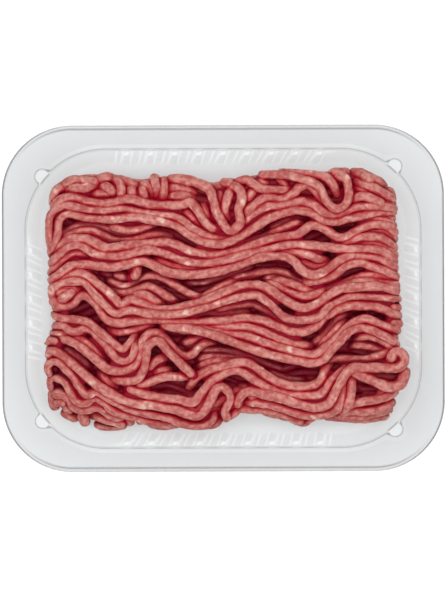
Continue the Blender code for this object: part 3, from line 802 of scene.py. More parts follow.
class Relief:
    """How high the meat already laid stands at each place."""

    STEP = 0.5

    def __init__(self, low: np.ndarray, high: np.ndarray) -> None:
        """Start with an empty floor over the area between two corners."""
        self.low = low[:2] - 6.0
        cells = np.ceil((high[:2] + 6.0 - self.low) / self.STEP).astype(int)
        self.height = np.zeros(cells)

    def _disc(self, line: np.ndarray, radius: float) -> tuple:
        """The cells within a radius of each point, and how high a dome stands in each."""
        reach = int(radius / self.STEP)
        steps = np.arange(-reach, reach + 1)
        dx, dy = (part.ravel() for part in np.meshgrid(steps, steps, indexing="ij"))
        away = (dx ** 2 + dy ** 2) * self.STEP ** 2
        near = away < radius ** 2
        cell = np.rint((line[:, :2] - self.low) / self.STEP).astype(int)
        i = np.clip(cell[:, :1] + dx[near], 0, self.height.shape[0] - 1)
        j = np.clip(cell[:, 1:] + dy[near], 0, self.height.shape[1] - 1)
        return i, j, np.sqrt(radius ** 2 - away[near])

    def resting(self, line: np.ndarray, radius: float) -> np.ndarray:
        """The lowest heights for the middle of a strand that lies on what is there."""
        i, j, dome = self._disc(line, radius)
        return (self.height[i, j] + dome).max(axis=1)

    def at(self, flat: np.ndarray) -> np.ndarray:
        """How high the meat stands at each of some places."""
        cell = np.rint((flat - self.low) / self.STEP).astype(int)
        i = np.clip(cell[:, 0], 0, self.height.shape[0] - 1)
        j = np.clip(cell[:, 1], 0, self.height.shape[1] - 1)
        return self.height[i, j]

    def close(self, reach: float) -> None:
        """Fill the creases that are narrower than twice a reach."""
        steps = np.arange(-int(reach / self.STEP), int(reach / self.STEP) + 1)
        near = [(dx, dy) for dx in steps for dy in steps
                if (dx * dx + dy * dy) * self.STEP ** 2 <= reach ** 2]
        for pick_one in (np.maximum, np.minimum):
            self.height = pick_one.reduce([np.roll(self.height, step, (0, 1))
                                           for step in near])

    def cover(self, line: np.ndarray, radius: float) -> None:
        """Raise the relief to a strand's upper side."""
        i, j, dome = self._disc(line, radius)
        np.maximum.at(self.height, (i, j), line[:, 2:] + dome)


class Crowding:
    """How much meat there is around any point, close by and further off."""

    STEP = 0.7
    WAYS = 40
    REACHES = (0.8, 1.8, 3.0, 4.4, 6.0, 8.0, 10.5)

    def __init__(self, low: np.ndarray, high: np.ndarray) -> None:
        """Start with empty space between two corners and a margin round them."""
        self.low = low - 12.0
        cells = np.ceil((high + 12.0 - self.low) / self.STEP).astype(int)
        self.filled = np.zeros(cells, dtype=np.float32)

    def _cell(self, points: np.ndarray) -> tuple:
        """The cell that holds each point."""
        cell = np.rint((points - self.low) / self.STEP).astype(int)
        return tuple(np.clip(cell, 0, np.array(self.filled.shape) - 1).T)

    def fill(self, points: np.ndarray) -> None:
        """Mark the cells that hold these points as meat."""
        self.filled[self._cell(points)] = 1.0

    def spread(self, width: int) -> np.ndarray:
        """The share of meat around each cell, averaged three times over that many cells."""
        values = self.filled
        for _ in range(3):
            for axis in range(3):
                rolled = [np.roll(values, step, axis) for step in range(-width, width + 1)]
                values = sum(rolled) / np.float32(2 * width + 1)
        return values

    def read(self, values: np.ndarray, points: np.ndarray) -> np.ndarray:
        """The spread value at each point."""
        return values[self._cell(points)]

    def openness(self, values: np.ndarray, points: np.ndarray, out: np.ndarray) -> np.ndarray:
        """How much open space a point of the surface looks out on.

        Args:
            values: The share of meat in and next to each cell.
            points: Places on the surface.
            out: The way out of the surface at each.

        Returns:
            0 where a point is shut in and 1 where it lies open.
        """
        index = np.arange(self.WAYS) + 0.5
        tilt = np.arccos(1.0 - 2.0 * index / self.WAYS)
        turn = np.pi * (1.0 + 5.0 ** 0.5) * index
        ways = np.stack([np.cos(turn) * np.sin(tilt), np.sin(turn) * np.sin(tilt),
                         np.cos(tilt)], axis=1)
        start = points + out * 0.9
        seen = np.zeros(len(points), dtype=np.float32)
        whole = np.zeros(len(points), dtype=np.float32)
        for way in ways:
            weight = np.maximum(out @ way, 0.0).astype(np.float32)
            clear = np.ones(len(points), dtype=np.float32)
            for reach in self.REACHES:
                clear *= 1.0 - np.minimum(1.0, 1.4 * self.read(values, start + way * reach))
            seen += weight * clear
            whole += weight
        return seen / whole


@dataclass
class Tube:
    """The skin of one strand: points, ways out, faces, and grain over the faces."""

    points: np.ndarray
    out: np.ndarray
    quads: np.ndarray
    ends: np.ndarray
    grain: np.ndarray
    centre: np.ndarray
    radius: float


@dataclass
class Strand:
    """One laid strand: its middle line in space, and how it is made up."""

    line: np.ndarray
    radius: float
    sides: int
    stride: float

    CAP = np.array((0.0, 0.10, 0.32, 0.62, 1.0))
    POINT = 0.06
    GRAIN = 0.1
    WIDER = 1.1
    LOWER = 0.94

    def marks(self, length: float) -> np.ndarray:
        """Where its rings stand along the line: close together at its round ends."""
        cap = self.CAP * self.radius
        count = max(2, int(round((length - 2 * cap[-1]) / self.stride)))
        middle = np.linspace(cap[-1], length - cap[-1], count + 1)
        return np.concatenate([cap[:-1], middle, (length - cap[:-1])[::-1]])

    def taper(self, marks: np.ndarray, length: float) -> np.ndarray:
        """The share of full thickness at each mark."""
        share = np.minimum(np.minimum(marks, length - marks) / self.radius, 1.0)
        return np.maximum(np.sqrt(1.0 - (1.0 - share) ** 2), self.POINT)

    def across(self, centre: np.ndarray) -> tuple:
        """Two directions across the strand at each ring, turning no more than they must."""
        ahead = np.gradient(centre, axis=0)
        ahead /= np.linalg.norm(ahead, axis=1)[:, None]
        side = np.empty_like(ahead)
        side[0] = np.cross(ahead[0], (0.0, 0.3, 1.0))
        side[0] /= np.linalg.norm(side[0])
        for index in range(1, len(ahead)):
            kept = side[index - 1] - ahead[index] * (side[index - 1] @ ahead[index])
            side[index] = kept / np.linalg.norm(kept)
        return side, np.cross(side, ahead)

    def skin(self, shift: float) -> Tube:
        """Sweep the strand's round section along its line.

        Args:
            shift: How far its grain is moved along, so that strands differ.

        Returns:
            The strand's skin, with even sides.
        """
        curve = through(self.line)
        length = travelled(curve)[-1]
        marks = self.marks(length)
        centre = pick(curve, marks)
        side, up = self.across(centre)
        angle = 2 * np.pi * np.arange(self.sides) / self.sides
        out = (side[:, None] * np.cos(angle)[None, :, None] * self.WIDER
               + up[:, None] * np.sin(angle)[None, :, None] * self.LOWER)
        reach = (self.taper(marks, length) * self.radius)[:, None, None]
        points = centre[:, None] + out * reach
        row = np.arange(len(marks) - 1)[:, None] * self.sides
        column = np.arange(self.sides)
        near, beside = row + column, row + (column + 1) % self.sides
        quads = np.stack([near, near + self.sides, beside + self.sides, beside], axis=-1)
        last = (len(marks) - 1) * self.sides
        ends = np.stack([column, last + column[::-1]])
        along = marks * self.GRAIN + shift
        girth = 2 * np.pi * self.radius * self.GRAIN / self.sides
        u = np.stack([along[:-1], along[1:], along[1:], along[:-1]], axis=-1)
        v = np.stack([column, column, column + 1, column + 1], axis=-1) * girth
        shape = (len(marks) - 1, self.sides, 4)
        grain = np.stack([np.broadcast_to(u[:, None], shape), np.broadcast_to(v, shape)], -1)
        cap_u = np.repeat(along[[0, -1]], self.sides)
        cap_v = np.concatenate([column, column[::-1]]) * girth
        grain = np.concatenate([grain.reshape(-1, 2), np.stack([cap_u, cap_v], axis=1)])
        return Tube(points.reshape(-1, 3), out.reshape(-1, 3), quads.reshape(-1, 4), ends,
                    grain, np.repeat(centre, self.sides, axis=0), self.radius)


@dataclass
class Heap:
    """The mince: strands laid over a bed, with belts round its sides, on the tray's floor."""

    low: np.ndarray
    high: np.ndarray
    crown: float = 24.5
    radius: float = 2.32
    grip: float = 1.8
    most_lift: float = 2.6
    tuck_length: float = 7.0
    tuck_depth: float = 3.6
    turn: float = 4.0
    foot: float = 3.0
    floor: float = 0.45
    depth_gain: float = 1.3
    bed_level: float = 16.0
    edge_level: float = 19.6
    core_inset: float = 4.4
    core_foot: float = 1.2
    core_rings: int = 70
    crease: float = 1.4
    crease_depth: float = 2.2

    def __post_init__(self) -> None:
        """Set out the relief, the crowding and the random fields."""
        self.relief = Relief(self.low, self.high)
        self.crowding = Crowding(self.low, self.high)
        self.wander = Unevenness(11)
        self.lumps = Unevenness(23)
        self.groups: dict = {}
        ring = through(np.array(OUTLINE, dtype=float), closed=True)
        self.outline = soften(evenly(ring, 1.5), 1.5)

    # lines

    def wandering(self, line: np.ndarray, much: float, salt: float = 0.0) -> np.ndarray:
        """A line with small natural wanders of about that much."""
        moved = line.copy()
        for axis in range(3):
            moved[:, axis] += much * self.wander.at(line + 31.7 * (axis + 1) + salt, 9.0)
        return moved

    def laid_line(self, lay: Lay) -> np.ndarray:
        """Lay one strand over what is already there.

        Args:
            lay: Its route, depths and ends.

        Returns:
            The strand's middle line.
        """
        flat = evenly(through(np.array(lay.route, dtype=float)), 1.0)
        along = travelled(flat)
        depths = np.interp(along / along[-1], np.linspace(0.0, 1.0, len(lay.depths)), lay.depths) \
            if len(lay.depths) > 1 else np.full(len(flat), float(lay.depths[0]))
        depths = soften(depths, 3.0) * self.depth_gain
        free = np.ones(len(flat))
        for which, gone in ((0, along), (1, along[-1] - along)):
            if lay.end(which) is End.TUCK:
                reach = min(self.tuck_length, 0.4 * along[-1])
                depths += self.tuck_depth * eased(1.0 - gone / reach)
                free *= 1.0 - eased(1.4 - 1.4 * gone / reach)
        line = np.column_stack([flat, np.maximum(self.crown - depths, self.foot)])
        radius = self.grip * lay.thickness
        lift = np.maximum(self.relief.resting(line, radius) - line[:, 2], 0.0) * free
        lift = self.most_lift * np.tanh(lift / self.most_lift)
        wide = np.max([np.roll(np.pad(lift, 2), step)[2:-2] for step in (-2, -1, 0, 1, 2)], axis=0)
        line[:, 2] += soften(wide, 2.5) * free
        self.relief.cover(line, radius)
        return self.turned_down(line, along, lay)

    def turned_down(self, line: np.ndarray, along: np.ndarray, lay: Lay) -> np.ndarray:
        """Carry the ends that turn down over the edge to the heap's foot."""
        parts = [line]
        for which, gone in ((0, along), (1, along[-1] - along)):
            if lay.end(which) is not End.DOWN:
                continue
            over = np.maximum(self.turn - gone, 0.0)
            line[:, 2] -= self.turn - np.sqrt(self.turn ** 2 - np.minimum(over, 3.9) ** 2)
            last = line[0] if which == 0 else line[-1]
            drop = np.arange(last[2] - 1.5, self.foot, -1.5)
            fall = np.repeat(last[None], len(drop), axis=0)
            fall[:, 2] = drop
            fall[:, 0] -= np.sign(last[0]) * self.tuck_at(drop)
            parts = [fall[::-1], *parts] if which == 0 else [*parts, fall]
        return np.concatenate(parts)

    @staticmethod
    def tuck_at(height: np.ndarray) -> np.ndarray:
        """How far the heap's side has drawn in at a height above the floor."""
        return 0.03 * np.maximum(20.0 - height, 0.0) + 3.4 * eased(1.0 - height / 9.0)

    def inside_width(self, x: np.ndarray, inset: float) -> tuple:
        """The outline's near and far edge at each x, drawn in by an inset."""
        edge = self.outline
        far = np.array([edge[(abs(edge[:, 0] - at) < 4.0) & (edge[:, 1] > 0.0), 1].min(initial=99)
                        for at in x])
        near = np.array([edge[(abs(edge[:, 0] - at) < 4.0) & (edge[:, 1] < 0.0), 1].max(initial=-99)
                         for at in x])
        return near + inset, far - inset

    # groups of strands

    def lay_bed(self) -> None:
        """Lay the bed that shows darkly through the gaps of the crown."""
        strands = []
        x = np.arange(-85.0, 85.1, 2.0)
        near, far = self.inside_width(x, 7.0)
        for row, middle in enumerate(np.arange(-54.0, 58.0, 4.1)):
            swing = 3.2 * np.sin(x / 14.0 + middle / 17.0) + 1.6 * np.sin(x / 6.1 + middle / 9.0)
            y = np.clip(middle + swing, near, far)
            line = np.column_stack([x, y, np.full(len(x), self.bed_level)])
            line = self.wandering(line, 1.2, salt=row * 3.1)
            self.relief.cover(evenly(line, 1.0), self.grip)
            strands.append(Strand(line, self.radius, 10, 1.6))
        self.groups["bed_strands"] = strands

    def lay_floor(self) -> None:
        """Lay the lowest strands, pressed flat against the tray's floor."""
        strands = []
        for row, y in enumerate(np.arange(-57.0, 60.0, 4.7)):
            half = 85.0 * (1.0 - (abs(y) / 92.0) ** 4) - 1.0
            x = np.arange(-half, half, 2.4)
            line = np.column_stack([x, y + 1.2 * np.sin(x / 11.0 + row), np.full(len(x), 2.3)])
            strands.append(Strand(self.wandering(line, 0.5, salt=row * 5.3), self.radius, 10, 2.0))
        self.groups["floor_strands"] = strands

    def lay_belts(self) -> None:
        """Lay the belts that run along the long sides, one above another."""
        strands = []
        centre = self.outline.mean(axis=0)
        for tier, level in enumerate((3.0, 7.3, 11.6, 15.9, 20.0)):
            for side in (-1.0, 1.0):
                inset = 2.6 + float(self.tuck_at(np.array(level)))
                inset += max(0.0, level - 5.0) * 0.7 if side < 0 else 0.0
                run = self.outline[self.outline[:, 1] * side > 18.0]
                run = run[np.argsort(run[:, 0])]
                start = -30.0 if side < 0 and level > 10.0 else -91.0
                run = run[(run[:, 0] > start) & (run[:, 0] < 91.0)]
                toward = centre - run
                toward[:, 0] *= 0.35
                toward /= np.linalg.norm(toward, axis=1)[:, None]
                flat = soften(run + toward * inset, 3.0)
                line = np.column_stack([flat, np.full(len(flat), level)])
                line = self.wandering(evenly(line, 2.4), 0.9, salt=tier * 7.7)
                strands.append(Strand(line, self.radius, 10, 1.6))
        self.groups["side_belts"] = strands

    def lay_far_edge(self) -> None:
        """Lay the strands that fill the far edge up, just under its short folds."""
        strands = []
        x = np.arange(-82.0, 86.1, 2.0)
        far = self.inside_width(x, 5.0)[1]
        for row, back in enumerate((0.0, 4.4, 8.8, 13.0)):
            y = np.minimum(far, 61.0) - back
            flat = soften(np.column_stack([x, y]), 3.0)
            line = np.column_stack([flat, np.full(len(x), self.edge_level)])
            line = self.wandering(line, 0.9, salt=row * 4.7)
            self.relief.cover(evenly(line, 1.0), self.grip)
            strands.append(Strand(line, self.radius, 12, 1.4))
        self.groups["bed_strands"] += strands

    def lay_crown(self) -> None:
        """Lay the folds of the crown, the deepest strands first."""
        order = [(-float(np.mean(lay.depths)), group, lay)
                 for group, lays in FOLDS.items() for lay in lays]
        for group in FOLDS:
            self.groups[group] = []
        for number, (_, group, lay) in enumerate(sorted(order, key=lambda item: item[0])):
            line = self.wandering(self.laid_line(lay), 0.3, salt=number * 1.9)
            self.groups[group].append(Strand(line, self.radius * lay.thickness, 14, 1.0))
        self.fill_side_gaps()

    @staticmethod
    def gaps_between(taken: list) -> list:
        """Evenly spaced places in every gap of a sorted list that is wide enough for one."""
        places = []
        for one, other in zip(taken, taken[1:]):
            room = int((other - one) / 3.1) - 1
            places += [one + (other - one) * (index + 1) / (room + 1) for index in range(room)]
        return places

    def fill_side_gaps(self) -> None:
        """Hang short strands down the short sides where the crown leaves room."""
        strands = []
        for side in (-1.0, 1.0):
            taken = sorted(lay.route[index][1] for lays in FOLDS.values() for lay in lays
                           for index in (0, -1)
                           if lay.end(index) is End.DOWN and lay.route[index][0] * side > 80.0)
            beside = np.array([point[1] for lays in FOLDS.values() for lay in lays
                               for point in lay.route[1:-1] if point[0] * side > 88.5])
            for y in self.gaps_between([-58.0, *taken, 56.0]):
                lower = 5.5 if abs(beside - y).min() < 4.0 else 0.0
                edge = self.outline[(self.outline[:, 0] * side > 0)]
                x = abs(edge[np.argmin(abs(edge[:, 1] - y)), 0]) - 2.3
                height = np.arange(20.0 - lower, self.foot, -1.5)
                line = np.column_stack([side * (x - self.tuck_at(height)),
                                        np.full(len(height), y), height])
                top = np.array([[side * (x - 5.0), y, 21.8 - lower],
                                [side * (x - 1.6), y, 21.4 - lower]])
                line = self.wandering(np.concatenate([top, line]), 0.7, salt=y)
                strands.append(Strand(line, self.radius, 12, 1.3))
        self.groups["side_strands"] = strands

    # meshes

    def roughened(self, tube: Tube) -> np.ndarray:
        """A tube's points with the lumps and hollows of coarse meat, pressed flat below."""
        place = tube.points
        swell = (0.11 * self.lumps.at(place, 6.5) + 0.10 * self.lumps.at(place, 2.6)
                 + 0.05 * self.lumps.at(place, 1.3))
        spread = np.linalg.norm(place - tube.centre, axis=1)
        points = place + tube.out * (swell * spread)[:, None]
        points[:, 2] = np.maximum(points[:, 2], self.floor)
        return points

    def build(self, dress: bpy.types.Material, inner: bpy.types.Material) -> None:
        """Lay everything and make its pieces.

        Args:
            dress: The finish of the strands.
            inner: The finish of the core.
        """
        self.lay_floor()
        self.lay_belts()
        self.lay_bed()
        self.lay_far_edge()
        self.lay_crown()
        core = self.build_core(inner)
        skins = {}
        shift = 0.0
        for group, strands in self.groups.items():
            skins[group] = []
            for strand in strands:
                shift += 7.3
                tube = strand.skin(shift)
                tube.points = self.roughened(tube)
                skins[group].append(tube)
                for share in (0.0, 0.4, 0.75, 1.0):
                    self.crowding.fill(tube.centre + (tube.points - tube.centre) * share)
        close = self.crowding.spread(1)
        for group, tubes in skins.items():
            ready(self.make_strands(group, tubes, close, dress), "raw_mince", "mince")
        self.note_openness(core, close)
        ready(core, "raw_mince", "mince")

    def note_openness(self, core: bpy.types.Object, close: np.ndarray) -> None:
        """Tell the core's material how open each of its points lies."""
        points, out = (np.empty(len(core.data.vertices) * 3, dtype=np.float32) for _ in "ab")
        core.data.vertices.foreach_get("co", points)
        core.data.vertices.foreach_get("normal", out)
        points, out = points.reshape(-1, 3) / MM, out.reshape(-1, 3)
        note_points(core, SHADE, self.crowding.read(close, points + out * 1.3),
                    self.crowding.openness(close, points, out))

    def make_strands(self, name: str, tubes: list, close: np.ndarray,
                     dress: bpy.types.Material) -> bpy.types.Object:
        """Join strands into one piece that knows how crowded each of its points is."""
        points = np.concatenate([tube.points for tube in tubes])
        out = np.concatenate([tube.out for tube in tubes])
        starts = np.cumsum([0] + [len(tube.points) for tube in tubes])
        faces, grain = [], []
        for tube, start in zip(tubes, starts):
            faces += [tube.quads + start, tube.ends + start]
            grain.append(tube.grain)
        piece = make_piece(name, points, faces, dress)
        grain_map = piece.data.uv_layers.new(name=GRAIN_MAP)
        grain_map.data.foreach_set("uv", np.concatenate(grain).astype(np.float32).ravel())
        tone = np.concatenate([np.full(len(tube.points), (tube.grain[0, 0] * 0.137) % 1.0)
                               for tube in tubes])
        note_points(piece, SHADE, self.crowding.read(close, points + out * 1.3),
                    self.crowding.openness(close, points, out), tone)
        return piece

    def ring_inside(self, inset: float) -> np.ndarray:
        """The heap's outline drawn in evenly by an inset."""
        edge = self.outline
        ahead = np.roll(edge, -2, axis=0) - np.roll(edge, 2, axis=0)
        way = np.column_stack([ahead[:, 1], -ahead[:, 0]])
        way /= np.linalg.norm(way, axis=1)[:, None]
        centre = edge.mean(axis=0)
        way *= np.sign(((centre - edge) * way).sum(axis=1))[:, None]
        return soften(edge + way * inset, 2.5)

    def build_core(self, dress: bpy.types.Material) -> bpy.types.Object:
        """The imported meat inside, whose top follows the strands and fills their creases.

        Args:
            dress: Its finish.

        Returns:
            The core, closed all round.
        """
        relief = Relief(self.low, self.high)
        for strand in itertools.chain(*self.groups.values()):
            relief.cover(evenly(strand.line, 0.8), strand.radius)
        relief.close(self.crease)
        rim = self.ring_inside(self.core_inset)
        around = len(rim)
        centre = np.array((0.0, -1.0))
        shares = np.linspace(1.0, 0.012, self.core_rings)
        flat = centre + (rim - centre)[None] * shares[:, None, None]
        top = relief.at(flat.reshape(-1, 2)) - self.crease_depth
        top += 0.12 * self.lumps.at(np.column_stack([flat.reshape(-1, 2), top]), 2.2)
        top = np.maximum(top, self.core_foot + 0.5).reshape(self.core_rings, around)
        sides = []
        for level in (self.core_foot, 4.0, 8.0, 13.0):
            height = np.minimum(level, top[0] - 0.3)
            ring = self.ring_inside(self.core_inset + float(self.tuck_at(np.array(level))))
            sides.append(np.column_stack([ring, height]))
        crown = np.concatenate([flat, top[..., None]], axis=-1)
        points = np.concatenate([np.stack(sides), crown]).reshape(-1, 3)
        for share in np.linspace(0.0, 1.0, 34):
            low = np.array((1.0, 1.0, share))
            self.crowding.fill(crown.reshape(-1, 3) * low)
        rows = len(sides) + self.core_rings
        row = np.arange(rows - 1)[:, None] * around
        column = np.arange(around)
        near, beside = row + column, row + (column + 1) % around
        quads = np.stack([near, beside, beside + around, near + around], -1).reshape(-1, 4)
        lids = np.stack([column[::-1], (rows - 1) * around + column])
        return make_piece("packed_core", points, [quads, lids], dress)


# --- the tray ---------------------------------------------------------------


class Level(NamedTuple):
    """One level of the tray's skin: its outline and height, and how the sheet is there.

    pocket_room is how far it follows the pockets outwards. The painted shade along the sheet's folds
    and on the flange is given for the short and the long sides, chord adds the same only at the pockets,
    and broken is the share of it that is missing beside each rib. The painted light clears the sheet all over and
    in the pockets.
    """

    half_x: float
    half_y: float
    corner: float
    z: float
    ribs: bool = False
    pocket_room: float = 0.0
    bent: tuple = (0.0, 0.0)
    chord: float = 0.0
    broken: float = 0.0
    painted_light: float = 0.0
    pocket_stretch: float = 0.0


@dataclass
class Tray:
    """The clear tray: one formed sheet with a flat rim, ribbed walls and a flat floor."""

    length: float
    width: float
    height: float
    sheet: float = 0.5
    mouth_length: float = 202.4
    mouth_width: float = 152.8
    mouth_corner: float = 41.0
    rim_corner: float = 36.0
    lip_drop: float = 2.4
    lip_round: float = 1.2
    mouth_round: float = 0.4
    draft: float = math.tan(math.radians(8.0))
    base_round: float = 8.0
    rib_pitch: float = 12.5
    rib_width: float = 6.8
    rib_depth: float = 1.2
    rib_foot: float = 2.0
    rib_fade: float = 10.0
    rib_top: float = 34.5
    rib_cap: float = 3.5
    rib_flank: float = 1.9
    long_side_ribs: int = 9
    short_side_ribs: int = 5
    pocket_radius: float = 3.5
    pocket_set_out: float = 1.5
    pocket_depth: float = 3.8
    pocket_angles: tuple = (49.0, 50.0, 40.0, 41.0)
    # Painted shade: how much darker the flange is tinted than the walls.
    flange_tint: float = 0.11
    # Painted highlights: a spot on each rib's cap, streaks down its flanks and a lighter band at the wall's foot.
    cap_highlight: float = 1.0
    streak_highlight: float = 0.55
    streaks: tuple = (-3.4, 1.6, 4.6)
    streak_slant: float = 0.10
    foot_painted_light: float = 0.35

    def side_stations(self, count: int) -> np.ndarray:
        """Places along a wall, closer together on the flanks of its ribs."""
        half = self.rib_width / 2
        flank = np.linspace(half - self.rib_flank, half, 4)
        one = np.concatenate([-flank[::-1], [-0.9, -0.3, 0.3, 0.9], flank,
                              half + np.array((0.7, 1.4, 2.1, 2.8, 3.5, 4.2, 5.0))])
        return np.concatenate([(index - (count - 1) / 2) * self.rib_pitch + one
                               for index in range(count)])

    def corner_stations(self, pocket: float) -> np.ndarray:
        """Angles round a corner, closer together at its pocket."""
        reach = math.asin(self.pocket_radius / (self.mouth_corner + self.pocket_set_out))
        even = np.linspace(0.0, math.pi / 2, 33)
        clear = even[abs(even - pocket) > reach * 1.15]
        close = pocket + reach * np.sin(np.linspace(-0.5, 0.5, 17) * math.pi)
        return np.sort(np.concatenate([clear, close]))

    def pocket_reach(self, angle: np.ndarray, pocket: float, corner: float) -> np.ndarray:
        """How far the mouth's edge is from its corner's centre, pocket included."""
        centre = self.mouth_corner + self.pocket_set_out
        radius = self.pocket_radius + corner - self.mouth_corner
        across = centre * np.sin(angle - pocket)
        room = np.maximum(radius ** 2 - across ** 2, 0.0)
        along = centre * np.cos(angle - pocket) + np.sqrt(room)
        inside = radius ** 2 - across ** 2 > -1e-9
        return np.where(inside, np.maximum(corner, along), corner)

    def rib_rise(self, place: np.ndarray, z: float) -> np.ndarray:
        """How far the ribs stand in from the wall at places along it, at one height."""
        if z > self.rib_top or z < self.rib_foot:
            return np.zeros_like(place)
        half = self.rib_width / 2
        from_middle = (place + self.rib_pitch * 20.5) % self.rib_pitch - self.rib_pitch / 2
        arch = self.rib_top - half
        above = max(z - arch, 0.0)
        flank = (half - np.hypot(from_middle, above)) / self.rib_flank
        cap = (self.rib_top - z) / self.rib_cap
        foot = (z - self.rib_foot) / self.rib_fade
        share = eased(flank) * min(1.0, cap + 0.15) * float(eased(np.array(foot)))
        return self.rib_depth * share

    def painted_highlights(self, place: np.ndarray, z: float) -> np.ndarray:
        """How much painted highlight clears the sheet at places along a wall, at one height.

        Args:
            place: Places along the wall, from a rib's middle.
            z: The height.

        Returns:
            A painted highlight spot on each rib's cap and slanted streaks down its flanks, with a lighter painted
            band near the wall's foot, from 0 to 1.
        """
        across = (place + self.rib_pitch * 20.5) % self.rib_pitch - self.rib_pitch / 2
        level = z - self.rib_top + 2.0 + 0.4 * across
        spot = self.cap_highlight * np.exp(-(across / 1.9) ** 2 - (level / 1.5) ** 2)
        low = eased(np.array((z - self.rib_foot) / 6.0)) * eased(np.array((self.height - z) / 6.0))
        for start in self.streaks:
            middle = start + self.streak_slant * (self.rib_top - z)
            away = (across - middle + self.rib_pitch / 2) % self.rib_pitch - self.rib_pitch / 2
            spot = np.maximum(spot, self.streak_highlight * low * np.exp(-(away / 0.6) ** 2))
        return np.maximum(spot, self.foot_painted_light * eased(np.array((16.0 - z) / 14.0)))

    def ring(self, level: Level) -> tuple:
        """The points of one level, anticlockwise from the +X side's near end.

        Args:
            level: The level.

        Returns:
            The points, and at each the painted shade of the sheet's folds and flange and the painted light on it.
        """
        parts, bent, painted_light = [], [], []
        for quarter in range(4):
            short = quarter % 2 == 0
            run_half, out_half = ((level.half_y, level.half_x) if short
                                  else (level.half_x, level.half_y))
            turn = quarter * math.pi / 2
            out = np.array((math.cos(turn), math.sin(turn)))
            run = np.array((-math.sin(turn), math.cos(turn)))
            count = self.short_side_ribs if short else self.long_side_ribs
            place = self.side_stations(count)
            odd_shift = 0.0 if count % 2 else self.rib_pitch / 2
            rise = self.rib_rise(place + odd_shift, level.z) if level.ribs else 0.0 * place
            parts.append((out_half - rise)[:, None] * out + place[:, None] * run)
            by_rib = (place + odd_shift + self.rib_pitch * 20.5) % self.rib_pitch
            # Painted shade along the folds and on the flange, broken beside each rib.
            broken = level.broken * np.exp(-((by_rib - self.rib_pitch / 2) / 2.8) ** 2)
            bent.append(level.bent[0 if short else 1] * (1.0 - broken))
            # Painted highlights on the ribs.
            drawn = self.painted_highlights(place + odd_shift, level.z) if level.ribs else 0.0 * place
            painted_light.append(level.painted_light + drawn)
            pocket = math.radians(self.pocket_angles[quarter])
            angle = self.corner_stations(pocket)
            reach = np.minimum(self.pocket_reach(angle, pocket, level.corner),
                               level.corner + level.pocket_room)
            centre = out * (out_half - level.corner) + run * (run_half - level.corner)
            way = np.cos(angle)[:, None] * out + np.sin(angle)[:, None] * run
            parts.append(centre + way * reach[:, None])
            in_pocket = (self.pocket_reach(angle, pocket, self.mouth_corner)
                         > self.mouth_corner + 0.01)
            ahead = np.sin(angle) ** 4 if short else np.cos(angle) ** 4
            # Painted shade on the corners, and a grey chord across each pocket.
            bent.append(level.bent[0] * (1.0 - ahead) + level.bent[1] * ahead
                        + level.chord * in_pocket)
            # Painted light at the wall's foot and in the pockets.
            foot = self.foot_painted_light * float(eased(np.array((16.0 - level.z) / 14.0)))
            painted_light.append(level.painted_light + level.pocket_stretch * in_pocket + foot)
        flat = np.concatenate(parts)
        points = np.column_stack([flat, np.full(len(flat), level.z)])
        return points, np.concatenate(bent), np.concatenate(painted_light)

    def at_rim(self, inset: float, z: float, short: float, long: float) -> Level:
        """A level of the rim's outer edge, and how dark it is on short and long sides."""
        return Level(self.length / 2 - inset, self.width / 2 - inset,
                     self.rim_corner - inset, z, bent=(short, long))

    def at_mouth(self, inset: float, z: float, dark: float = 0.0, **more: float) -> Level:
        """A level of the wall, drawn in from the mouth's edge."""
        return Level(self.mouth_length / 2 - inset, self.mouth_width / 2 - inset,
                     self.mouth_corner - inset, z, bent=(dark, dark), **more)

    def rim_levels(self) -> list:
        """The turned-down lip, the rounding over it and the rim's outer border."""
        top, tint = self.height, self.flange_tint
        # The dark values are painted shade along the lip's fold and on the flange.
        listed = [self.at_rim(0.0, top - self.lip_drop, 0.8, 0.25),
                  self.at_rim(0.0, top - 1.8, 0.8, 0.25)]
        for turn in np.linspace(0.0, math.pi / 2, 6):
            inset = self.lip_round * (1.0 - math.cos(turn))
            z = top - self.lip_round * (1.0 - math.sin(turn))
            share = inset / self.lip_round
            listed.append(self.at_rim(inset, z, 0.8 - 0.6 * share, 0.25 - 0.15 * share))
        for inset, long in ((1.6, 0.3), (2.0, 0.6), (2.4, 0.5), (3.0, tint), (4.2, tint)):
            listed.append(self.at_rim(inset, top, tint, long))
        return listed

    def mouth_levels(self) -> list:
        """The rim's inner border, the rounding into the wall and the pockets."""
        top, tint = self.height, self.flange_tint
        room = 2.0 * self.pocket_radius
        listed = []
        # Painted shade: the flange's tint, and a grey line along the mouth's edge.
        for out, long in ((3.0, tint), (2.4, 0.2 * tint), (1.2, 0.2 * tint), (0.6, tint)):
            listed.append(self.at_mouth(-out, top, tint, pocket_room=room)._replace(
                bent=(tint, long)))
        for turn in np.linspace(0.0, math.pi / 2, 4):
            inset = self.mouth_round * (math.sin(turn) - 1.0)
            z = top - self.mouth_round * (1.0 - math.cos(turn))
            listed.append(self.at_mouth(inset, z, 0.5, pocket_room=room, broken=0.6))
        # Painted light inside the pockets, and painted shade along their chords.
        shelf = top - self.pocket_depth
        for z in np.linspace(top - 1.2, shelf, 4):
            listed.append(self.at_mouth((top - z) * self.draft, z, pocket_room=room,
                                        pocket_stretch=0.22))
        drop = (top - shelf) * self.draft
        listed.append(self.at_mouth(drop, shelf, pocket_room=1.1, pocket_stretch=0.22))
        listed.append(self.at_mouth(drop, shelf - 0.05, pocket_room=0.95, chord=0.4))
        listed.append(self.at_mouth(drop + 0.03, shelf - 0.25, ribs=True, chord=0.4))
        return listed

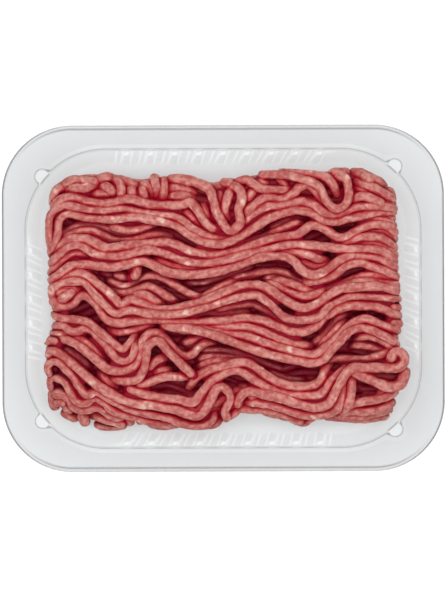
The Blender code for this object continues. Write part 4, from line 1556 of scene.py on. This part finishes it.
    def levels(self) -> list:
        """All levels from the turned-down lip over the rim and down to the floor."""
        top = self.height
        listed = self.rim_levels() + self.mouth_levels()
        shelf = top - self.pocket_depth
        heights = np.concatenate([
            [shelf - 0.7], np.arange(self.rib_top, self.rib_top - 5.0, -0.5),
            np.linspace(self.rib_top - 5.5, self.base_round + self.sheet, 12)])
        for z in heights:
            listed.append(self.at_mouth((top - z) * self.draft, z, ribs=True))
        foot = (top - self.sheet - self.base_round) * self.draft
        for turn in np.linspace(0.0, math.pi / 2, 9)[1:]:
            inset = foot + self.base_round * (1.0 - math.cos(turn))
            z = self.sheet + self.base_round * (1.0 - math.sin(turn))
            listed.append(self.at_mouth(inset, z, ribs=True))
        return listed

    def build(self, dress: bpy.types.Material) -> None:
        """Loft the levels into one skin and give it the sheet's thickness."""
        rings = [self.ring(level) for level in self.levels()]
        around = len(rings[0][0])
        points, bent, painted_light = (np.concatenate(part) for part in zip(*rings))
        row = np.arange(len(rings) - 1)[:, None] * around
        column = np.arange(around)
        near, beside = row + column, row + (column + 1) % around
        quads = np.stack([near, beside, beside + around, near + around], -1).reshape(-1, 4)
        floor = ((len(rings) - 1) * around + column)[None]
        shell = make_piece("tray_shell", points, [quads, floor], dress)
        # The painted shade of the folds and flange and the painted highlights, for the material to read.
        note_points(shell, SHEET_SHADE_AND_LIGHT, bent, painted_light)
        skin = shell.modifiers.new("sheet", "SOLIDIFY")
        skin.thickness = self.sheet * MM
        skin.offset = -1.0
        ready(shell, "clear_plastic", "tray")


def ready(piece: bpy.types.Object, slot: str, *nodes: str) -> None:
    """Fix a piece to the frame and report it.

    Args:
        piece: The piece.
        slot: Not used.
        nodes: The CAD nodes that it stands for.
    """
    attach(piece, ROOT_BODY)
    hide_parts(*nodes)
    faces = sum(len(face.vertices) - 2 for face in piece.data.polygons)
    log.info("%s: %d triangles", piece.name, faces)


# --- the studio -------------------------------------------------------------


@dataclass
class Studio:
    """A white table, soft light from all round, and a camera straight above."""

    rim: float
    camera_height: float = 850.0
    lens: float = 100.0
    camera_x: float = 0.4
    camera_y: float = -0.1
    camera_turn: float = -0.2
    table_size: float = 6.0

    def build(self) -> None:
        """Set up the table, the lights, the camera and the look of the picture."""
        self.build_table()
        self.build_light("overhead_softbox", (0.0, 0.0, 1.5), 1.5, 12.5)
        self.build_light("left_softbox", (-1.3, 0.7, 1.1), 0.8, 4.0)
        self.build_light("right_softbox", (1.3, -0.7, 1.1), 0.8, 2.5)
        self.build_world()
        self.build_camera()
        bpy.context.scene.view_settings.view_transform = "Standard"
        bpy.context.scene.cycles.transparent_max_bounces = 32

    def build_table(self) -> None:
        """The table top, which is not part of the pack."""
        half = self.table_size / 2 / MM
        corners = np.array(((-half, -half, 0.0), (half, -half, 0.0),
                            (half, half, 0.0), (-half, half, 0.0)))
        table = make_piece("table", corners, [np.array([[0, 1, 2, 3]])], TableFinish().make())

    def build_light(self, name: str, place: tuple, size: float, power: float) -> None:
        """One square soft light that looks at the pack."""
        lamp = bpy.data.lights.new(name, "AREA")
        lamp.size = size
        lamp.energy = power
        holder = bpy.data.objects.new(name, lamp)
        holder.location = place
        to_pack = -holder.location
        holder.rotation_euler = to_pack.to_track_quat("-Z", "Y").to_euler()
        bpy.context.scene.collection.objects.link(holder)

    def build_world(self) -> None:
        """Even pale light from everywhere."""
        world = bpy.data.worlds.new("studio")
        world.use_nodes = True
        back = world.node_tree.nodes["Background"]
        back.inputs["Color"].default_value = (0.95, 0.97, 1.0, 1.0)
        back.inputs["Strength"].default_value = 0.62
        bpy.context.scene.world = world

    def build_camera(self) -> None:
        """The camera, looking straight down with the pack's +Y up."""
        lens = bpy.data.cameras.new("camera")
        lens.lens = self.lens
        lens.sensor_width = 36.0
        holder = bpy.data.objects.new("camera", lens)
        holder.location = (self.camera_x * MM, self.camera_y * MM,
                           (self.rim + self.camera_height) * MM)
        holder.rotation_euler = (0.0, 0.0, math.radians(self.camera_turn))
        bpy.context.scene.collection.objects.link(holder)
        bpy.context.scene.camera = holder


def box_in_mm(node: str) -> tuple:
    """The lowest and highest corner of a CAD node in millimetres."""
    return tuple(np.array(corner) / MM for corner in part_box(node))


def main() -> None:
    """Build the tray, the mince and the studio."""
    logging.basicConfig(level=logging.INFO, format="%(message)s")
    low, high = box_in_mm("tray")
    tray = Tray(*(high - low))
    tray.build(ClearPlasticFinish().make())
    Heap(*box_in_mm("mince")).build(MinceFinish().make(), PackedMeatFinish().make())
    Studio(tray.height).build()


if __name__ == "__main__":
    main()
